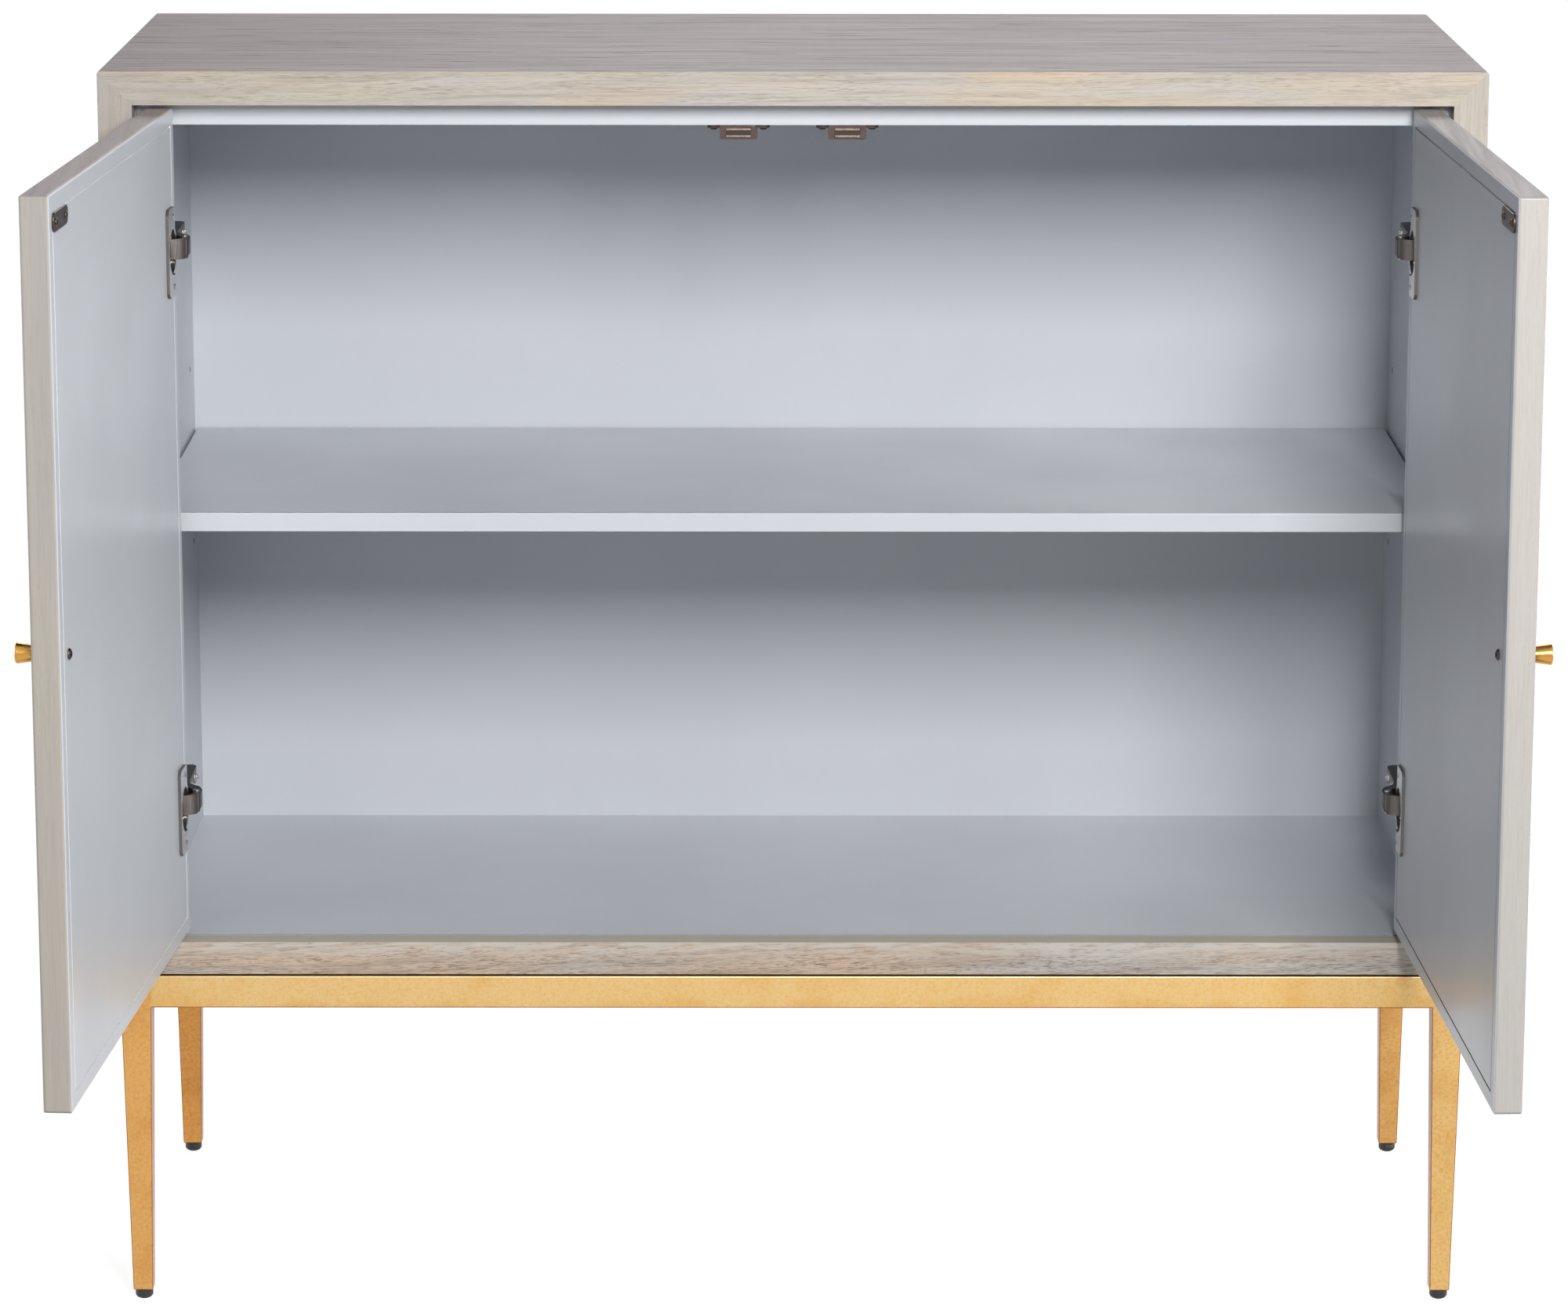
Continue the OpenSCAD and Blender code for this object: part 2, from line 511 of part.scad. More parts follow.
module glide() {
  translate([0, 0, 3]) cylinder(d = glide_d, h = glide_h - 3);
  rotate_extrude() polygon([[0, 0], [glide_d/2 - 3, 0], [glide_d/2 - 1.3, 0.9], [glide_d/2 - 0.3, 2.1], [glide_d/2, 3], [0, 3]]);
  cylinder(d = 5, h = glide_h + 12);
}
module leg_glides() color([0.12, 0.12, 0.12]) for (sx = [-1, 1], sy = [-1, 1])
  translate([sx*leg_x, sy*leg_y, 0]) glide();
// dark packing strips that leave the shadow line under the case
module base_packing() color([0.10, 0.10, 0.10]) difference() {
  span([-rail_o[0] + packing_in, -rail_o[1] + packing_in, rail_top], [rail_o[0] - packing_in, rail_o[1] - packing_in, base_h]);
  span([-rail_o[0] + rail[1], -rail_o[1] + rail[1], rail_top - 1], [rail_o[0] - rail[1], rail_o[1] - rail[1], base_h + 1]);
  for (p = base_screws()) translate([p[0], p[1], rail_top - 1]) cylinder(d = screw_d + 2*run, h = 5);
}
module base_bolts() color([0.5, 0.5, 0.5]) for (p = base_screws()) translate([p[0], p[1], rail_bot + 4]) {
  cylinder(d = screw_d, h = rail[0] - 4 + packing_t + 10);
  translate([0, 0, -2]) pan_head(6.4, 2);
}

top_panel();
bottom_panel();
left_side_panel();
right_side_panel();
left_lining();
right_lining();
floor_lining();
top_stop_panel();
stop_panel_screws();
back_panel();
shelf();
shelf_pins();
left_catch();
right_catch();
catch_plates();
catch_magnets();
catch_screws();
left_door_panel();
left_hinge_cups();
left_cup_screws();
left_knob();
left_knob_screw();
left_strike_plate();
left_strike_screws();
right_door_panel();
right_hinge_cups();
right_cup_screws();
right_knob();
right_knob_screw();
right_strike_plate();
right_strike_screws();
left_hinge_arms();
right_hinge_arms();
left_hinge_plates();
right_hinge_plates();
plate_screws();
arm_screws();
arm_pins();
left_hinge_links();
right_hinge_links();
front_rail();
rear_rail();
left_rail();
right_rail();
front_left_leg();
front_right_leg();
rear_left_leg();
rear_right_leg();
leg_glides();
base_packing();
base_bolts();
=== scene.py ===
# %% [markdown]
# # A two-door accent cabinet, dressed for a studio picture
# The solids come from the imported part, in metres, with the floor at z = 0, +X to the right as the
# cabinet is faced and +Y to its back. This lesson gives every piece the finish of the real one. Where an
# edge, a turned shape or a screw needs more than the plain solid has, a finer piece takes its place.

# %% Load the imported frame
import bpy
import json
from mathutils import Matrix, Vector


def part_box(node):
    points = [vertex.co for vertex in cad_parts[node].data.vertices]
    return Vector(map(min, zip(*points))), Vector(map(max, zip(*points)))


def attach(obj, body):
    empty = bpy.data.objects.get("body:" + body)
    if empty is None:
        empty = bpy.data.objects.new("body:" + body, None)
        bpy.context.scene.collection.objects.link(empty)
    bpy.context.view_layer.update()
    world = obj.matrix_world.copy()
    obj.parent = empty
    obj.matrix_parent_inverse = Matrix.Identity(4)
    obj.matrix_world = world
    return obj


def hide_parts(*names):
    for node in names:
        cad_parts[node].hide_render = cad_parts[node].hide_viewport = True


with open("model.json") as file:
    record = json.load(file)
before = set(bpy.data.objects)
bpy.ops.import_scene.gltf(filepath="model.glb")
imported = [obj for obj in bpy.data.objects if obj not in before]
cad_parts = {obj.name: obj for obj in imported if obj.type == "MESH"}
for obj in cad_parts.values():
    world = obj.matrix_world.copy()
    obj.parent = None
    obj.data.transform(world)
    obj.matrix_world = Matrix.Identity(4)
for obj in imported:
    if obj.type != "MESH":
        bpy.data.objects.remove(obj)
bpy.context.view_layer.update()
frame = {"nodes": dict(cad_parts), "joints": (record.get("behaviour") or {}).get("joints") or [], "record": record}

# %% Modules and units
import json
import math
import bmesh
import bpy
from mathutils import Matrix, Vector

MM = 0.001
NODES = frame["nodes"]
scene = bpy.context.scene
print("one millimetre is", MM, "units")

# %% [markdown]
# ## Sizes shared with the source of the part
# The scene reads nothing but the frame, so the few sizes that its pieces need are read off the solids'
# own boxes and joints. That keeps the two in step when the source changes.

# %% Sizes read from the solids
TOP_LO, TOP_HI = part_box("top_panel")
FRONT_Y = TOP_LO.y
HALF_W = -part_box("left_side_panel")[0].x
BOARD = TOP_HI.z - TOP_LO.z
print("case %.0f mm wide and %.0f mm deep, boards %.0f mm"
      % (2 * HALF_W / MM, (TOP_HI.y - FRONT_Y) / MM, BOARD / MM))

# %% How the doors stand
# A door's own directions, level with the floor: INWARD is the way its painted face looks, and ACROSS runs
# from its hinge edge to its free edge.
JOINTS = {joint["name"]: joint for joint in frame["joints"]}
SIGN = {"left": -1, "right": 1}
OPEN = {s: math.radians(JOINTS[s + "_door_hinge"]["range_deg"][1]) for s in SIGN}
PIVOT = {s: Vector(JOINTS[s + "_door_hinge"]["pos_m"]) for s in SIGN}
INWARD = {s: Vector((-SIGN[s] * math.sin(OPEN[s]), math.cos(OPEN[s]), 0)) for s in SIGN}
ACROSS = {s: Vector((-SIGN[s] * math.cos(OPEN[s]), -math.sin(OPEN[s]), 0)) for s in SIGN}
print({s: "open %.1f degrees" % math.degrees(OPEN[s]) for s in SIGN})

# %% [markdown]
# ## Camera
# The picture was taken from in front and above with a long lens. Its place, tilt and focal length could
# be set by eye, but a few pixels show on straight boards, so they come from fitting the corners of the
# case, shelf, doors and legs to where they stand in the picture.

# %% Camera
SENSOR_MM = 36.0
FOCAL_PIXELS, PICTURE_PIXELS = 7304.7, 2000
CAMERA_MM = (-12.6, -4375.0, 1417.8)
YAW, LOOK_DOWN, ROLL = -0.0877, 12.349, 0.0574
camera_data = bpy.data.cameras.new("studio_camera")
camera_data.sensor_width = SENSOR_MM
camera_data.lens = FOCAL_PIXELS / PICTURE_PIXELS * SENSOR_MM
camera_data.clip_end = 100
camera = bpy.data.objects.new("studio_camera", camera_data)
scene.collection.objects.link(camera)
camera.location = Vector(v * MM for v in CAMERA_MM)
camera.rotation_euler = (Matrix.Rotation(math.radians(YAW), 3, "Z")
                         @ Matrix.Rotation(math.radians(90 - LOOK_DOWN), 3, "X")
                         @ Matrix.Rotation(math.radians(ROLL), 3, "Z")).to_euler()
scene.camera = camera
print("lens %.1f mm" % camera_data.lens)

# %% [markdown]
# ## Colours, nodes and finishes
# Every colour is written as the hex value that a picture shows, and one function turns it to linear
# light. One small function adds any node, sets it and links it; the four nodes that nearly every finish
# uses are kept in a table with their settings, so that a material reads as a list of steps. A finish is a
# ground colour with tints laid over it, each by its own share, and then a roughness and a relief.


# %% Colour
def hexcol(code):
    """sRGB hex such as "c8beaa" to linear RGBA."""
    shown = [int(code[i:i + 2], 16) / 255 for i in (0, 2, 4)]
    return (*(c / 12.92 if c <= 0.04045 else ((c + 0.055) / 1.055) ** 2.4 for c in shown), 1.0)


print("mid grey 808080 is %.3f in linear light" % hexcol("808080")[0])

# %% Nodes
# kind, settings and the output that is used
USUAL = {"noise": ("ShaderNodeTexNoise", {}, "Fac"),
         "smooth step": ("ShaderNodeMapRange", {"interpolation_type": "SMOOTHSTEP"}, 0),
         "colour mix": ("ShaderNodeMix", {"data_type": "RGBA"}, 2),
         "product": ("ShaderNodeMath", {"operation": "MULTIPLY"}, 0)}


def add(tree, kind, values=(), out=None, **settings):
    """One node with its settings. values go to its inputs, as a list in their order or by name: numbers,
    hex colours, or the sockets that feed them. Gives the output that is used next."""
    kind, usual, usual_out = USUAL.get(kind, (kind, {}, 0))
    node = tree.nodes.new(kind)
    for name, value in {**usual, **settings}.items():
        setattr(node, name, value)
    for key, value in values.items() if isinstance(values, dict) else enumerate(values):
        socket = node.inputs[key]
        if isinstance(value, bpy.types.NodeSocket):
            tree.links.new(value, socket)
        elif isinstance(value, str) and socket.type == "RGBA":
            socket.default_value = hexcol(value)
        else:
            socket.default_value = value
    return node.outputs[usual_out if out is None else out] if len(node.outputs) else node


print("usual nodes:", ", ".join(USUAL))


# %% Finishes
SHADER = "Principled BSDF"


def finish(name, colour, roughness, metallic=0.0, specular=0.5):
    """A new material with its constant values on the shader's own sockets."""
    material = bpy.data.materials.new(name)
    material.use_nodes = True
    shader = material.node_tree.nodes[SHADER]
    for key, value in (("Base Color", hexcol(colour)), ("Roughness", roughness), ("Metallic", metallic),
                       ("Specular IOR Level", specular)):
        shader.inputs[key].default_value = value
    material.diffuse_color = hexcol(colour)
    print("finish", name, "#" + colour)
    return material, material.node_tree


def dress(tree, ground, layers, roughness, relief, strength, depth):
    """layers are pairs of a share and the tint it lays over the ground; depth is the relief in metres."""
    for share, tint in layers:
        ground = add(tree, "colour mix", {0: share, 6: ground, 7: tint})
    bump = add(tree, "ShaderNodeBump", {"Strength": strength, "Distance": depth, "Height": relief})
    for key, socket in (("Base Color", ground), ("Roughness", roughness), ("Normal", bump)):
        tree.links.new(socket, tree.nodes[SHADER].inputs[key])


print("every finish is a", SHADER)

# %% [markdown]
# ## Limed oak veneer
# The case and the doors are veneered in oak that has been brushed, limed and toned grey. Liming fills
# the open pores, so the board shows fine dark dashes along the grain, a paler ground between them, and
# slow patches where the tone is warmer or greyer. A picture of oak would show one board over and over;
# here the pattern is noise squeezed along the grain instead: pores of about 0.7 mm by 10 mm, streaks of
# 5 mm and patches of a hand's width. The grain direction is an argument, because each board of a mitred
# case has its grain running along its own length.


# %% Limed oak
def limed_oak(name, light, dark, grey, pore, grain, turn=0.0, pores=0.6, fleck=0.0, slant=0.0, rough=0.5,
              seed=0.0, dash=(8, 0.75), band=0.5, gloss=0.3, hair=(45, 1.1), hair_share=0.2, warm=None,
              limed=None):
    """grain is the axis of the fibres; turn brings an open door's axes back to those of the shut one;
    dash and hair are the length and width of pores and fibres in mm; limed is the height, from and to,
    over which the liming was left whiter, and its tone."""
    material, tree = finish(name, light, rough, specular=gloss)
    coords = add(tree, "ShaderNodeTexCoord", out="Object")
    board = add(tree, "ShaderNodeMapping", {"Vector": coords, "Rotation": (0, slant, turn),
                                            "Location": (seed, seed * 0.7, seed * 1.3)})
    # fibres wander up to a centimetre over a hand's width
    wander = add(tree, "noise", {"Vector": board, "Scale": 5.0, "Detail": 2.0}, out="Color")
    wobble = add(tree, "ShaderNodeVectorMath", [wander, (0.012,) * 3], operation="MULTIPLY")
    flow = add(tree, "ShaderNodeVectorMath", [board, wobble], operation="ADD")

    def fibres(length, width, detail, coarse=0.5):
        """Noise with cells of that length and width in millimetres, lying along the grain."""
        scale = [1000 / width] * 3
        scale["XYZ".index(grain)] = 1000 / length
        squeezed = add(tree, "ShaderNodeMapping", {"Vector": flow, "Scale": scale})
        return add(tree, "noise", {"Vector": squeezed, "Scale": 1.0, "Detail": detail, "Roughness": coarse})

    bands = fibres(240, 5, 4, 0.65)
    hairs = fibres(*hair, 3, 0.65)
    # pores stand close together in some years' growth and apart in others
    gather = add(tree, "smooth step", [fibres(80, 7, 2), 0.36, 0.66, 0.2, 1.0])
    dashes = add(tree, "product", [add(tree, "smooth step", [fibres(*dash, 1), 0.53, 0.68]), gather])
    layers = [(add(tree, "smooth step", [fibres(300, 45, 3), 0.36, 0.66]), grey)]
    if warm:
        # the toner sits warmer where the veneer drank more of it
        layers.append((add(tree, "smooth step", [fibres(170, 16, 2), 0.52, 0.7, 0.0, 0.28]), warm))
    layers += [(add(tree, "smooth step", [bands, 0.38, 0.72, 0.0, band]), dark),
               (add(tree, "smooth step", [hairs, 0.46, 0.66, 0.0, hair_share]), pore),
               (add(tree, "product", [dashes, pores]), pore)]
    if limed:
        height = add(tree, "ShaderNodeSeparateXYZ", [coords], out="Z")
        patchy = add(tree, "smooth step", [fibres(30, 3, 2), 0.35, 0.6, 0.2, 0.75])
        upper = add(tree, "smooth step", [height, limed[0], limed[1]])
        layers.append((add(tree, "product", [upper, patchy]), limed[2]))
    if fleck:
        # long dark checks, closed by the liming, that end in points
        layers.append((add(tree, "smooth step", [fibres(75, 6.5, 2, 0.4), 0.63, 0.72, 0.0, fleck]), pore))
    relief = add(tree, "ShaderNodeMath", [add(tree, "product", [hairs, 0.5]), dashes], operation="SUBTRACT")
    dress(tree, light, layers, add(tree, "smooth step", [bands, 0.3, 0.7, rough - 0.05, rough + 0.08]),
          relief, 0.3, 0.1 * MM)
    return material


# %% The veneers of the case
# Tones are the light ground, the dark streak, the grey patch and the pore.
OAK_TOP = limed_oak("limed_oak_top", "a29796", "867d7b", "988f91", "574d4a", "X", pores=0.25, fleck=0.75,
                    rough=0.62, band=0.45, gloss=0.2, hair=(110, 3.0), hair_share=0.3)
OAK_STRIP = limed_oak("limed_oak_front_strip", "b6ab9a", "928a7f", "b0ada9", "73685e", "X", pores=0.5,
                      rough=0.46, seed=0.31, slant=0.012, dash=(11, 0.5), hair=(60, 0.7), hair_share=0.3,
                      warm="c9a878")
OAK_POST = limed_oak("limed_oak_front_posts", "afa79d", "948c84", "a6a4a5", "7f776f", "Z", pores=0.4,
                     rough=0.48, seed=0.57, band=0.35)
OAK_SIDE = limed_oak("limed_oak_sides", "a39b93", "8b837b", "9c9793", "5c534d", "Z", pores=0.35,
                     fleck=0.4, rough=0.5, seed=0.83)
OAK_SILL = limed_oak("limed_oak_sill", "bea790", "918070", "aeaba6", "5a4e48", "X", pores=0.75, rough=0.5,
                     seed=1.21, slant=0.04, dash=(6, 0.6), band=0.6, hair=(13, 0.7), hair_share=0.5,
                     limed=(0.268, 0.283, "bdbab3"))
GLAZE_LINE = limed_oak("brown_glaze_in_arris", "3a2b27", "2a1e1b", "4a3a33", "1e1614", "X", rough=0.55,
                       seed=1.9)
# painted highlight: the pale line on the forward-looking faces of the front arris
OAK_ARRIS_HIGHLIGHT = limed_oak("oak_arris_painted_highlight", "cfc9c0", "b0a899", "c4c0ba", "8a8074", "X", rough=0.36,
                        seed=2.3)

# %% [markdown]
# ## Painted board
# Inside, the cabinet is sprayed with a cool light grey satin lacquer. A flat colour would look like
# plastic. Sprayed lacquer is smooth with a faint orange peel, so it gets a fine bump of about a
# millimetre, a slow change of gloss and almost no change of colour.


# %% Satin grey lacquer
def lacquer(name, colour, rough=0.33):
    material, tree = finish(name, colour, rough)
    coords = add(tree, "ShaderNodeTexCoord", out="Object")
    cloud = add(tree, "noise", {"Vector": coords, "Scale": 6.0, "Detail": 3.0})
    peel = add(tree, "noise", {"Vector": coords, "Scale": 900.0, "Detail": 1.0})
    dress(tree, colour, [(add(tree, "smooth step", [cloud, 0.3, 0.7, 0.0, 0.06]), "8f949a")],
          add(tree, "smooth step", [cloud, 0.3, 0.7, rough - 0.03, rough + 0.05]), peel, 0.12, 0.03 * MM)
    return material


LACQUER = lacquer("satin_grey_lacquer", "c1c4c9")
# painted highlight: the left door's arrises and groove walls
LACQUER_ARRIS_HIGHLIGHT = lacquer("lacquer_arris_painted_highlight", "dfe3e6", 0.3)
# painted shade: the right door's arrises and groove walls, and the linings' front edges
GROOVE_SHADE = lacquer("lacquer_in_painted_shade", "8d9196", 0.4)
# painted shade: the walls of the pin holes, bare board darkened
BORE_WALLS_PAINTED_SHADE = lacquer("bare_bore_walls_painted_shade", "3a3430", 0.8)
LEDGE_STRIP = lacquer("grey_green_ledge_lacquer", "b4ad9c", 0.5)
BACK_BOARD = lacquer("primed_back_board", "8f8b84", 0.62)

# %% [markdown]
# ## Gold leaf
# The base is gilded: leaf laid over a red-brown ground and rubbed back. It is a soft metal with cloudy
# warm patches a few centimetres across, a mottle of some millimetres, small dark specks of about a
# millimetre, and the ground showing through along the arrises. Gold paint would be even; the leaf's
# tones are laid in three sizes of noise instead. The rubbed edge is a second material on bevel faces.


# %% Gold leaf
def gold_leaf(name, light, warm, speck, rough=0.45, metallic=0.75, specks=0.8, low=None):
    """low are the heights in metres between which the leaf is rubbed to the warmer tone."""
    material, tree = finish(name, light, rough, metallic)
    coords = add(tree, "ShaderNodeTexCoord", out="Object")
    clouds = add(tree, "noise", {"Vector": coords, "Scale": 26.0, "Detail": 4.0, "Roughness": 0.55})
    mottle = add(tree, "noise", {"Vector": coords, "Scale": 400.0, "Detail": 5.0, "Roughness": 0.75})
    specked = add(tree, "noise", {"Vector": coords, "Scale": 1100.0, "Detail": 2.0})
    grains = add(tree, "smooth step", [specked, 0.64, 0.74, 0.0, specks])
    if low:
        height = add(tree, "ShaderNodeSeparateXYZ", [coords], out="Z")
        worn = add(tree, "smooth step", [height, low[0], low[1], 0.13, -0.02])
        clouds = add(tree, "ShaderNodeMath", [clouds, worn], operation="ADD")
    in_clouds = add(tree, "smooth step", [clouds, 0.4, 0.65, 0.25, 1.0])
    layers = [(add(tree, "smooth step", [clouds, 0.45, 0.75, 0.0, 0.5]), warm),
              (add(tree, "smooth step", [mottle, 0.42, 0.66, 0.0, 0.55]), warm),
              (add(tree, "product", [grains, in_clouds]), speck)]
    dress(tree, light, layers, add(tree, "smooth step", [mottle, 0.3, 0.7, rough - 0.06, rough + 0.1]),
          mottle, 0.2, 0.06 * MM)
    return material


GOLD = gold_leaf("gold_leaf_rails", "d4b47b", "c8974a", "8f571d", low=(0.233, 0.246))
# the two left legs are warmer and the two right legs paler
GOLD_LEFT_LEG = gold_leaf("warm_gold_leaf_leg", "d1a15f", "bf7e35", "8a4f1c")
GOLD_RIGHT_LEG = gold_leaf("pale_gold_leaf_leg", "d8b374", "c58d42", "8a4f1c")
GOLD_REAR_RIGHT = gold_leaf("pale_gold_leaf_rear_leg", "d8a966", "c0843c", "814a1a", specks=0.9)
GOLD_REAR_LEFT = gold_leaf("warm_gold_leaf_rear_leg", "db9e55", "c27b32", "834515", specks=0.9)
# painted reflection: the sides of the legs that look across between them
GOLD_LEG_SIDE_REFLECTION = gold_leaf("leg_sides_painted_reflection", "c0a294", "b0907e", "8e6a50", metallic=0.5)
# painted highlight: the upper arris of the rails
GOLD_ARRIS_HIGHLIGHT = gold_leaf("gold_arris_painted_highlight", "f6dfae", "e9c07c", "b07a3c", rough=0.32)
GOLD_EDGE = gold_leaf("rubbed_gold_edge", "b4743a", "94502a", "5a2418", rough=0.5, metallic=0.35)

# %% [markdown]
# ## Metals and mouldings
# The hinges are pressed steel with a nickel plate, the knobs turned brass, the strike plates and their
# screws bronzed, the catches brown moulded plastic with coppered pole plates. The arms, plates and links
# of the hinges take darker copies of the nickel: painted shade for the dark surroundings they mirror.
# Polished metal is told apart by what blurs its reflections, so each metal keeps the default IOR and gets
# fine scratches or turning marks in its roughness, at a real scale. A moulding has a fine grain from its mould.


# %% Plated and polished metals
def plated(name, colour, rough=0.3, grain=(1.0, 1.0, 1.0), marks=500.0, spread=0.12, tarnish=0.12):
    """grain stretches the marks: along an axis where it is small. marks are cells in a metre."""
    material, tree = finish(name, colour, rough, 1.0)
    coords = add(tree, "ShaderNodeTexCoord", out="Object")
    brushed = add(tree, "ShaderNodeMapping", {"Vector": coords, "Scale": grain})
    fine = add(tree, "noise", {"Vector": brushed, "Scale": marks, "Detail": 3.0, "Roughness": 0.6})
    stain = add(tree, "noise", {"Vector": coords, "Scale": 45.0, "Detail": 2.0})
    dress(tree, colour, [(add(tree, "smooth step", [stain, 0.45, 0.75, 0.0, tarnish]), "4a4442")],
          add(tree, "smooth step", [fine, 0.3, 0.7, rough - spread / 2, rough + spread]), fine, 0.15,
          0.02 * MM)
    return material


BRUSHED_DOWN, TURNED = (1.0, 1.0, 0.15), (0.2, 0.2, 6.0)
NICKEL = plated("bright_nickel_plate", "cfccca", 0.22, BRUSHED_DOWN, 2500.0, 0.08)
# darker copies of the nickel: painted shade for what the arms, plates and links mirror
NICKEL_PAINTED_SHADE = plated("nickel_plate_painted_shade", "625d5b", 0.4, BRUSHED_DOWN, 2500.0, 0.08)
LINK_NICKEL_PAINTED_SHADE = plated("satin_link_painted_shade", "67625f", 0.58, BRUSHED_DOWN, 1200.0, 0.06, tarnish=0.05)
SHEARED = plated("sheared_sheet_edge", "7a7674", 0.34, marks=1500.0)
ZINC = plated("zinc_plate", "b4b2ae", 0.36)
POLE = plated("coppered_pole_plate", "8f7a6d", 0.3)
BRONZED = plated("bronzed_steel", "54463f", 0.36, spread=0.06, tarnish=0.05)
OILED = plated("oiled_steel", "4a4140", 0.34)
BRASS = plated("turned_brass", "c8964e", 0.16, TURNED, 300.0, 0.08)


# %% Moulded plastics and other dark pieces
def moulded(name, colour, rough=0.45):
    material, tree = finish(name, colour, rough)
    coords = add(tree, "ShaderNodeTexCoord", out="Object")
    grain = add(tree, "noise", {"Vector": coords, "Scale": 1400.0, "Detail": 2.0})
    cloud = add(tree, "noise", {"Vector": coords, "Scale": 90.0, "Detail": 2.0})
    dress(tree, colour, [(add(tree, "smooth step", [cloud, 0.35, 0.7, 0.0, 0.3]), "1b1614")],
          add(tree, "smooth step", [grain, 0.3, 0.7, rough - 0.05, rough + 0.1]), grain, 0.2, 0.05 * MM)
    return material


CATCH_BROWN = moulded("brown_catch_moulding", "3d2821", 0.4)
# painted highlight: the bevel of the catches
CATCH_EDGE_HIGHLIGHT = moulded("catch_edge_painted_highlight", "6d4b40", 0.3)
GLIDE_BLACK = moulded("black_glide_moulding", "232023", 0.5)
MAGNET = moulded("ceramic_magnet", "1c1716", 0.6)
# painted shade: the near-black packing darkens the gap under the case
PACKING_PAINTED_SHADE = moulded("near_black_packing_painted_shade", "0b0807", 0.85)

# %% [markdown]
# ## Pieces with real edges
# The solids come as loose triangles with knife-sharp edges, and a sharp edge never catches the light. A
# copy of such a mesh is merged, its flat areas are joined again, its sharp edges get a small bevel, and
# its curved walls are shaded smooth. The copy then stands for the solid and rides on the same body. A
# Bevel modifier would do the same to every edge; doing it in code lets a piece keep some edges sharp
# and give the bevel's faces a finish of their own.

# %% Placing a piece
BODY = {n: body for body, names in frame["record"]["behaviour"]["bodies"].items() for n in names}


def place(name, mesh, node):
    """A finished mesh becomes a piece that rides on its solid's body and stands for the solid."""
    piece = bpy.data.objects.new(name, mesh)
    scene.collection.objects.link(piece)
    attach(piece, BODY[node])
    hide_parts(node)
    print(name, "on", BODY[node] + ",", len(mesh.polygons), "faces")


print(len(BODY), "solids wait for their pieces")

# %% Refined copies of the solids
MERGE = 2e-6                    # corners of loose triangles lie closer than this, in metres
FLAT = math.radians(0.6)        # faces that bend less than this are one face
SHARP = math.radians(40)        # an edge that bends more gets a bevel
LARGE_FACE = 1e-4               # square metres: a face this large is flat, whatever its neighbours do


def merged(node):
    """A solid's triangles as one closed mesh to work on."""
    bm = bmesh.new()
    bm.from_mesh(NODES[node].data)
    bmesh.ops.remove_doubles(bm, verts=bm.verts, dist=MERGE)
    return bm


# a bevel's finish is real wear or glaze on some pieces, a painted highlight or painted shade on others
def refined(node, name, materials, bevel=0.0, paint=None, smooth=35, bevel_wear_and_light=None, keep=None, shortest=3,
            more=None):
    """paint(centre, normal) gives a face its material number, and rub(centre, normal) one of the bevel.
    Edges that keep(edge) names, or shorter than some bevel widths, stay sharp. more(bm) builds further
    forms into the piece."""
    bm = merged(node)
    bmesh.ops.dissolve_limit(bm, angle_limit=FLAT, verts=bm.verts, edges=bm.edges)
    if more:
        more(bm)
    for face in bm.faces:
        face.material_index = paint(face.calc_center_median(), face.normal) if paint else 0
    if bevel:
        sharp = [e for e in bm.edges if len(e.link_faces) == 2 and abs(e.calc_face_angle(0)) > SHARP
                 and e.calc_length() > shortest * bevel and not (keep and keep(e))]
        made = bmesh.ops.bevel(bm, geom=sharp, offset=bevel, segments=3, profile=0.5, affect="EDGES",
                               clamp_overlap=True, material=-1)
        for face in made["faces"] if bevel_wear_and_light else ():
            face.material_index = bevel_wear_and_light(face.calc_center_median(), face.normal)
    mesh = bpy.data.meshes.new(name)
    bm.to_mesh(mesh)
    bm.free()
    for material in materials:
        mesh.materials.append(material)
    mesh.shade_smooth()
    mesh.set_sharp_from_angle(angle=math.radians(smooth))
    for polygon in mesh.polygons:
        if polygon.area > LARGE_FACE:
            polygon.use_smooth = False
    place(name, mesh, node)


print("edges that bend over %.0f degrees get a bevel" % math.degrees(SHARP))

# %% [markdown]
# ## Painted linings, shelf and back
# The linings, the shelf, the stop panel and the back are cut, drilled and sprayed before they are fitted.
# They could be modelled again, but the imported solids already have the right shape with the pin holes in
# it, so a refined copy only sorts its faces: lacquer on what the spray reached, bare board darkened with
# painted shade in the bores, and painted shade on the narrow front edges. The shelf and the stop panel
# also get a fine arris.

# %% Painted pieces
FACING = 0.9                    # a normal's share along an axis from which a face looks that way
SKIN = 0.05 * MM                # a face nearer than this to the piece's box lies on its outside


def lining_paint(low, high):
    def paint(centre, normal):
        """The front edge is darkened with painted shade, and the walls of the pin holes are bare board darkened
        with painted shade.
        """
        if normal.y < -FACING and centre.y < low.y + 2 * SKIN:
            return 1
        return 0 if min(*(centre - low), *(high - centre)) < SKIN else 2
    return paint


# front edges and bore walls of the linings take painted shade
for node in ("left_lining", "right_lining", "floor_lining"):
    refined(node, "painted_" + node, [LACQUER, GROOVE_SHADE, BORE_WALLS_PAINTED_SHADE], paint=lining_paint(*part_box(node)))
for node in ("top_stop_panel", "shelf"):
    refined(node, "painted_" + node, [LACQUER], bevel=0.5 * MM)
refined("back_panel", "painted_back_panel", [LACQUER, BACK_BOARD], paint=lambda c, n: 1 if n.y > 0.5 else 0)

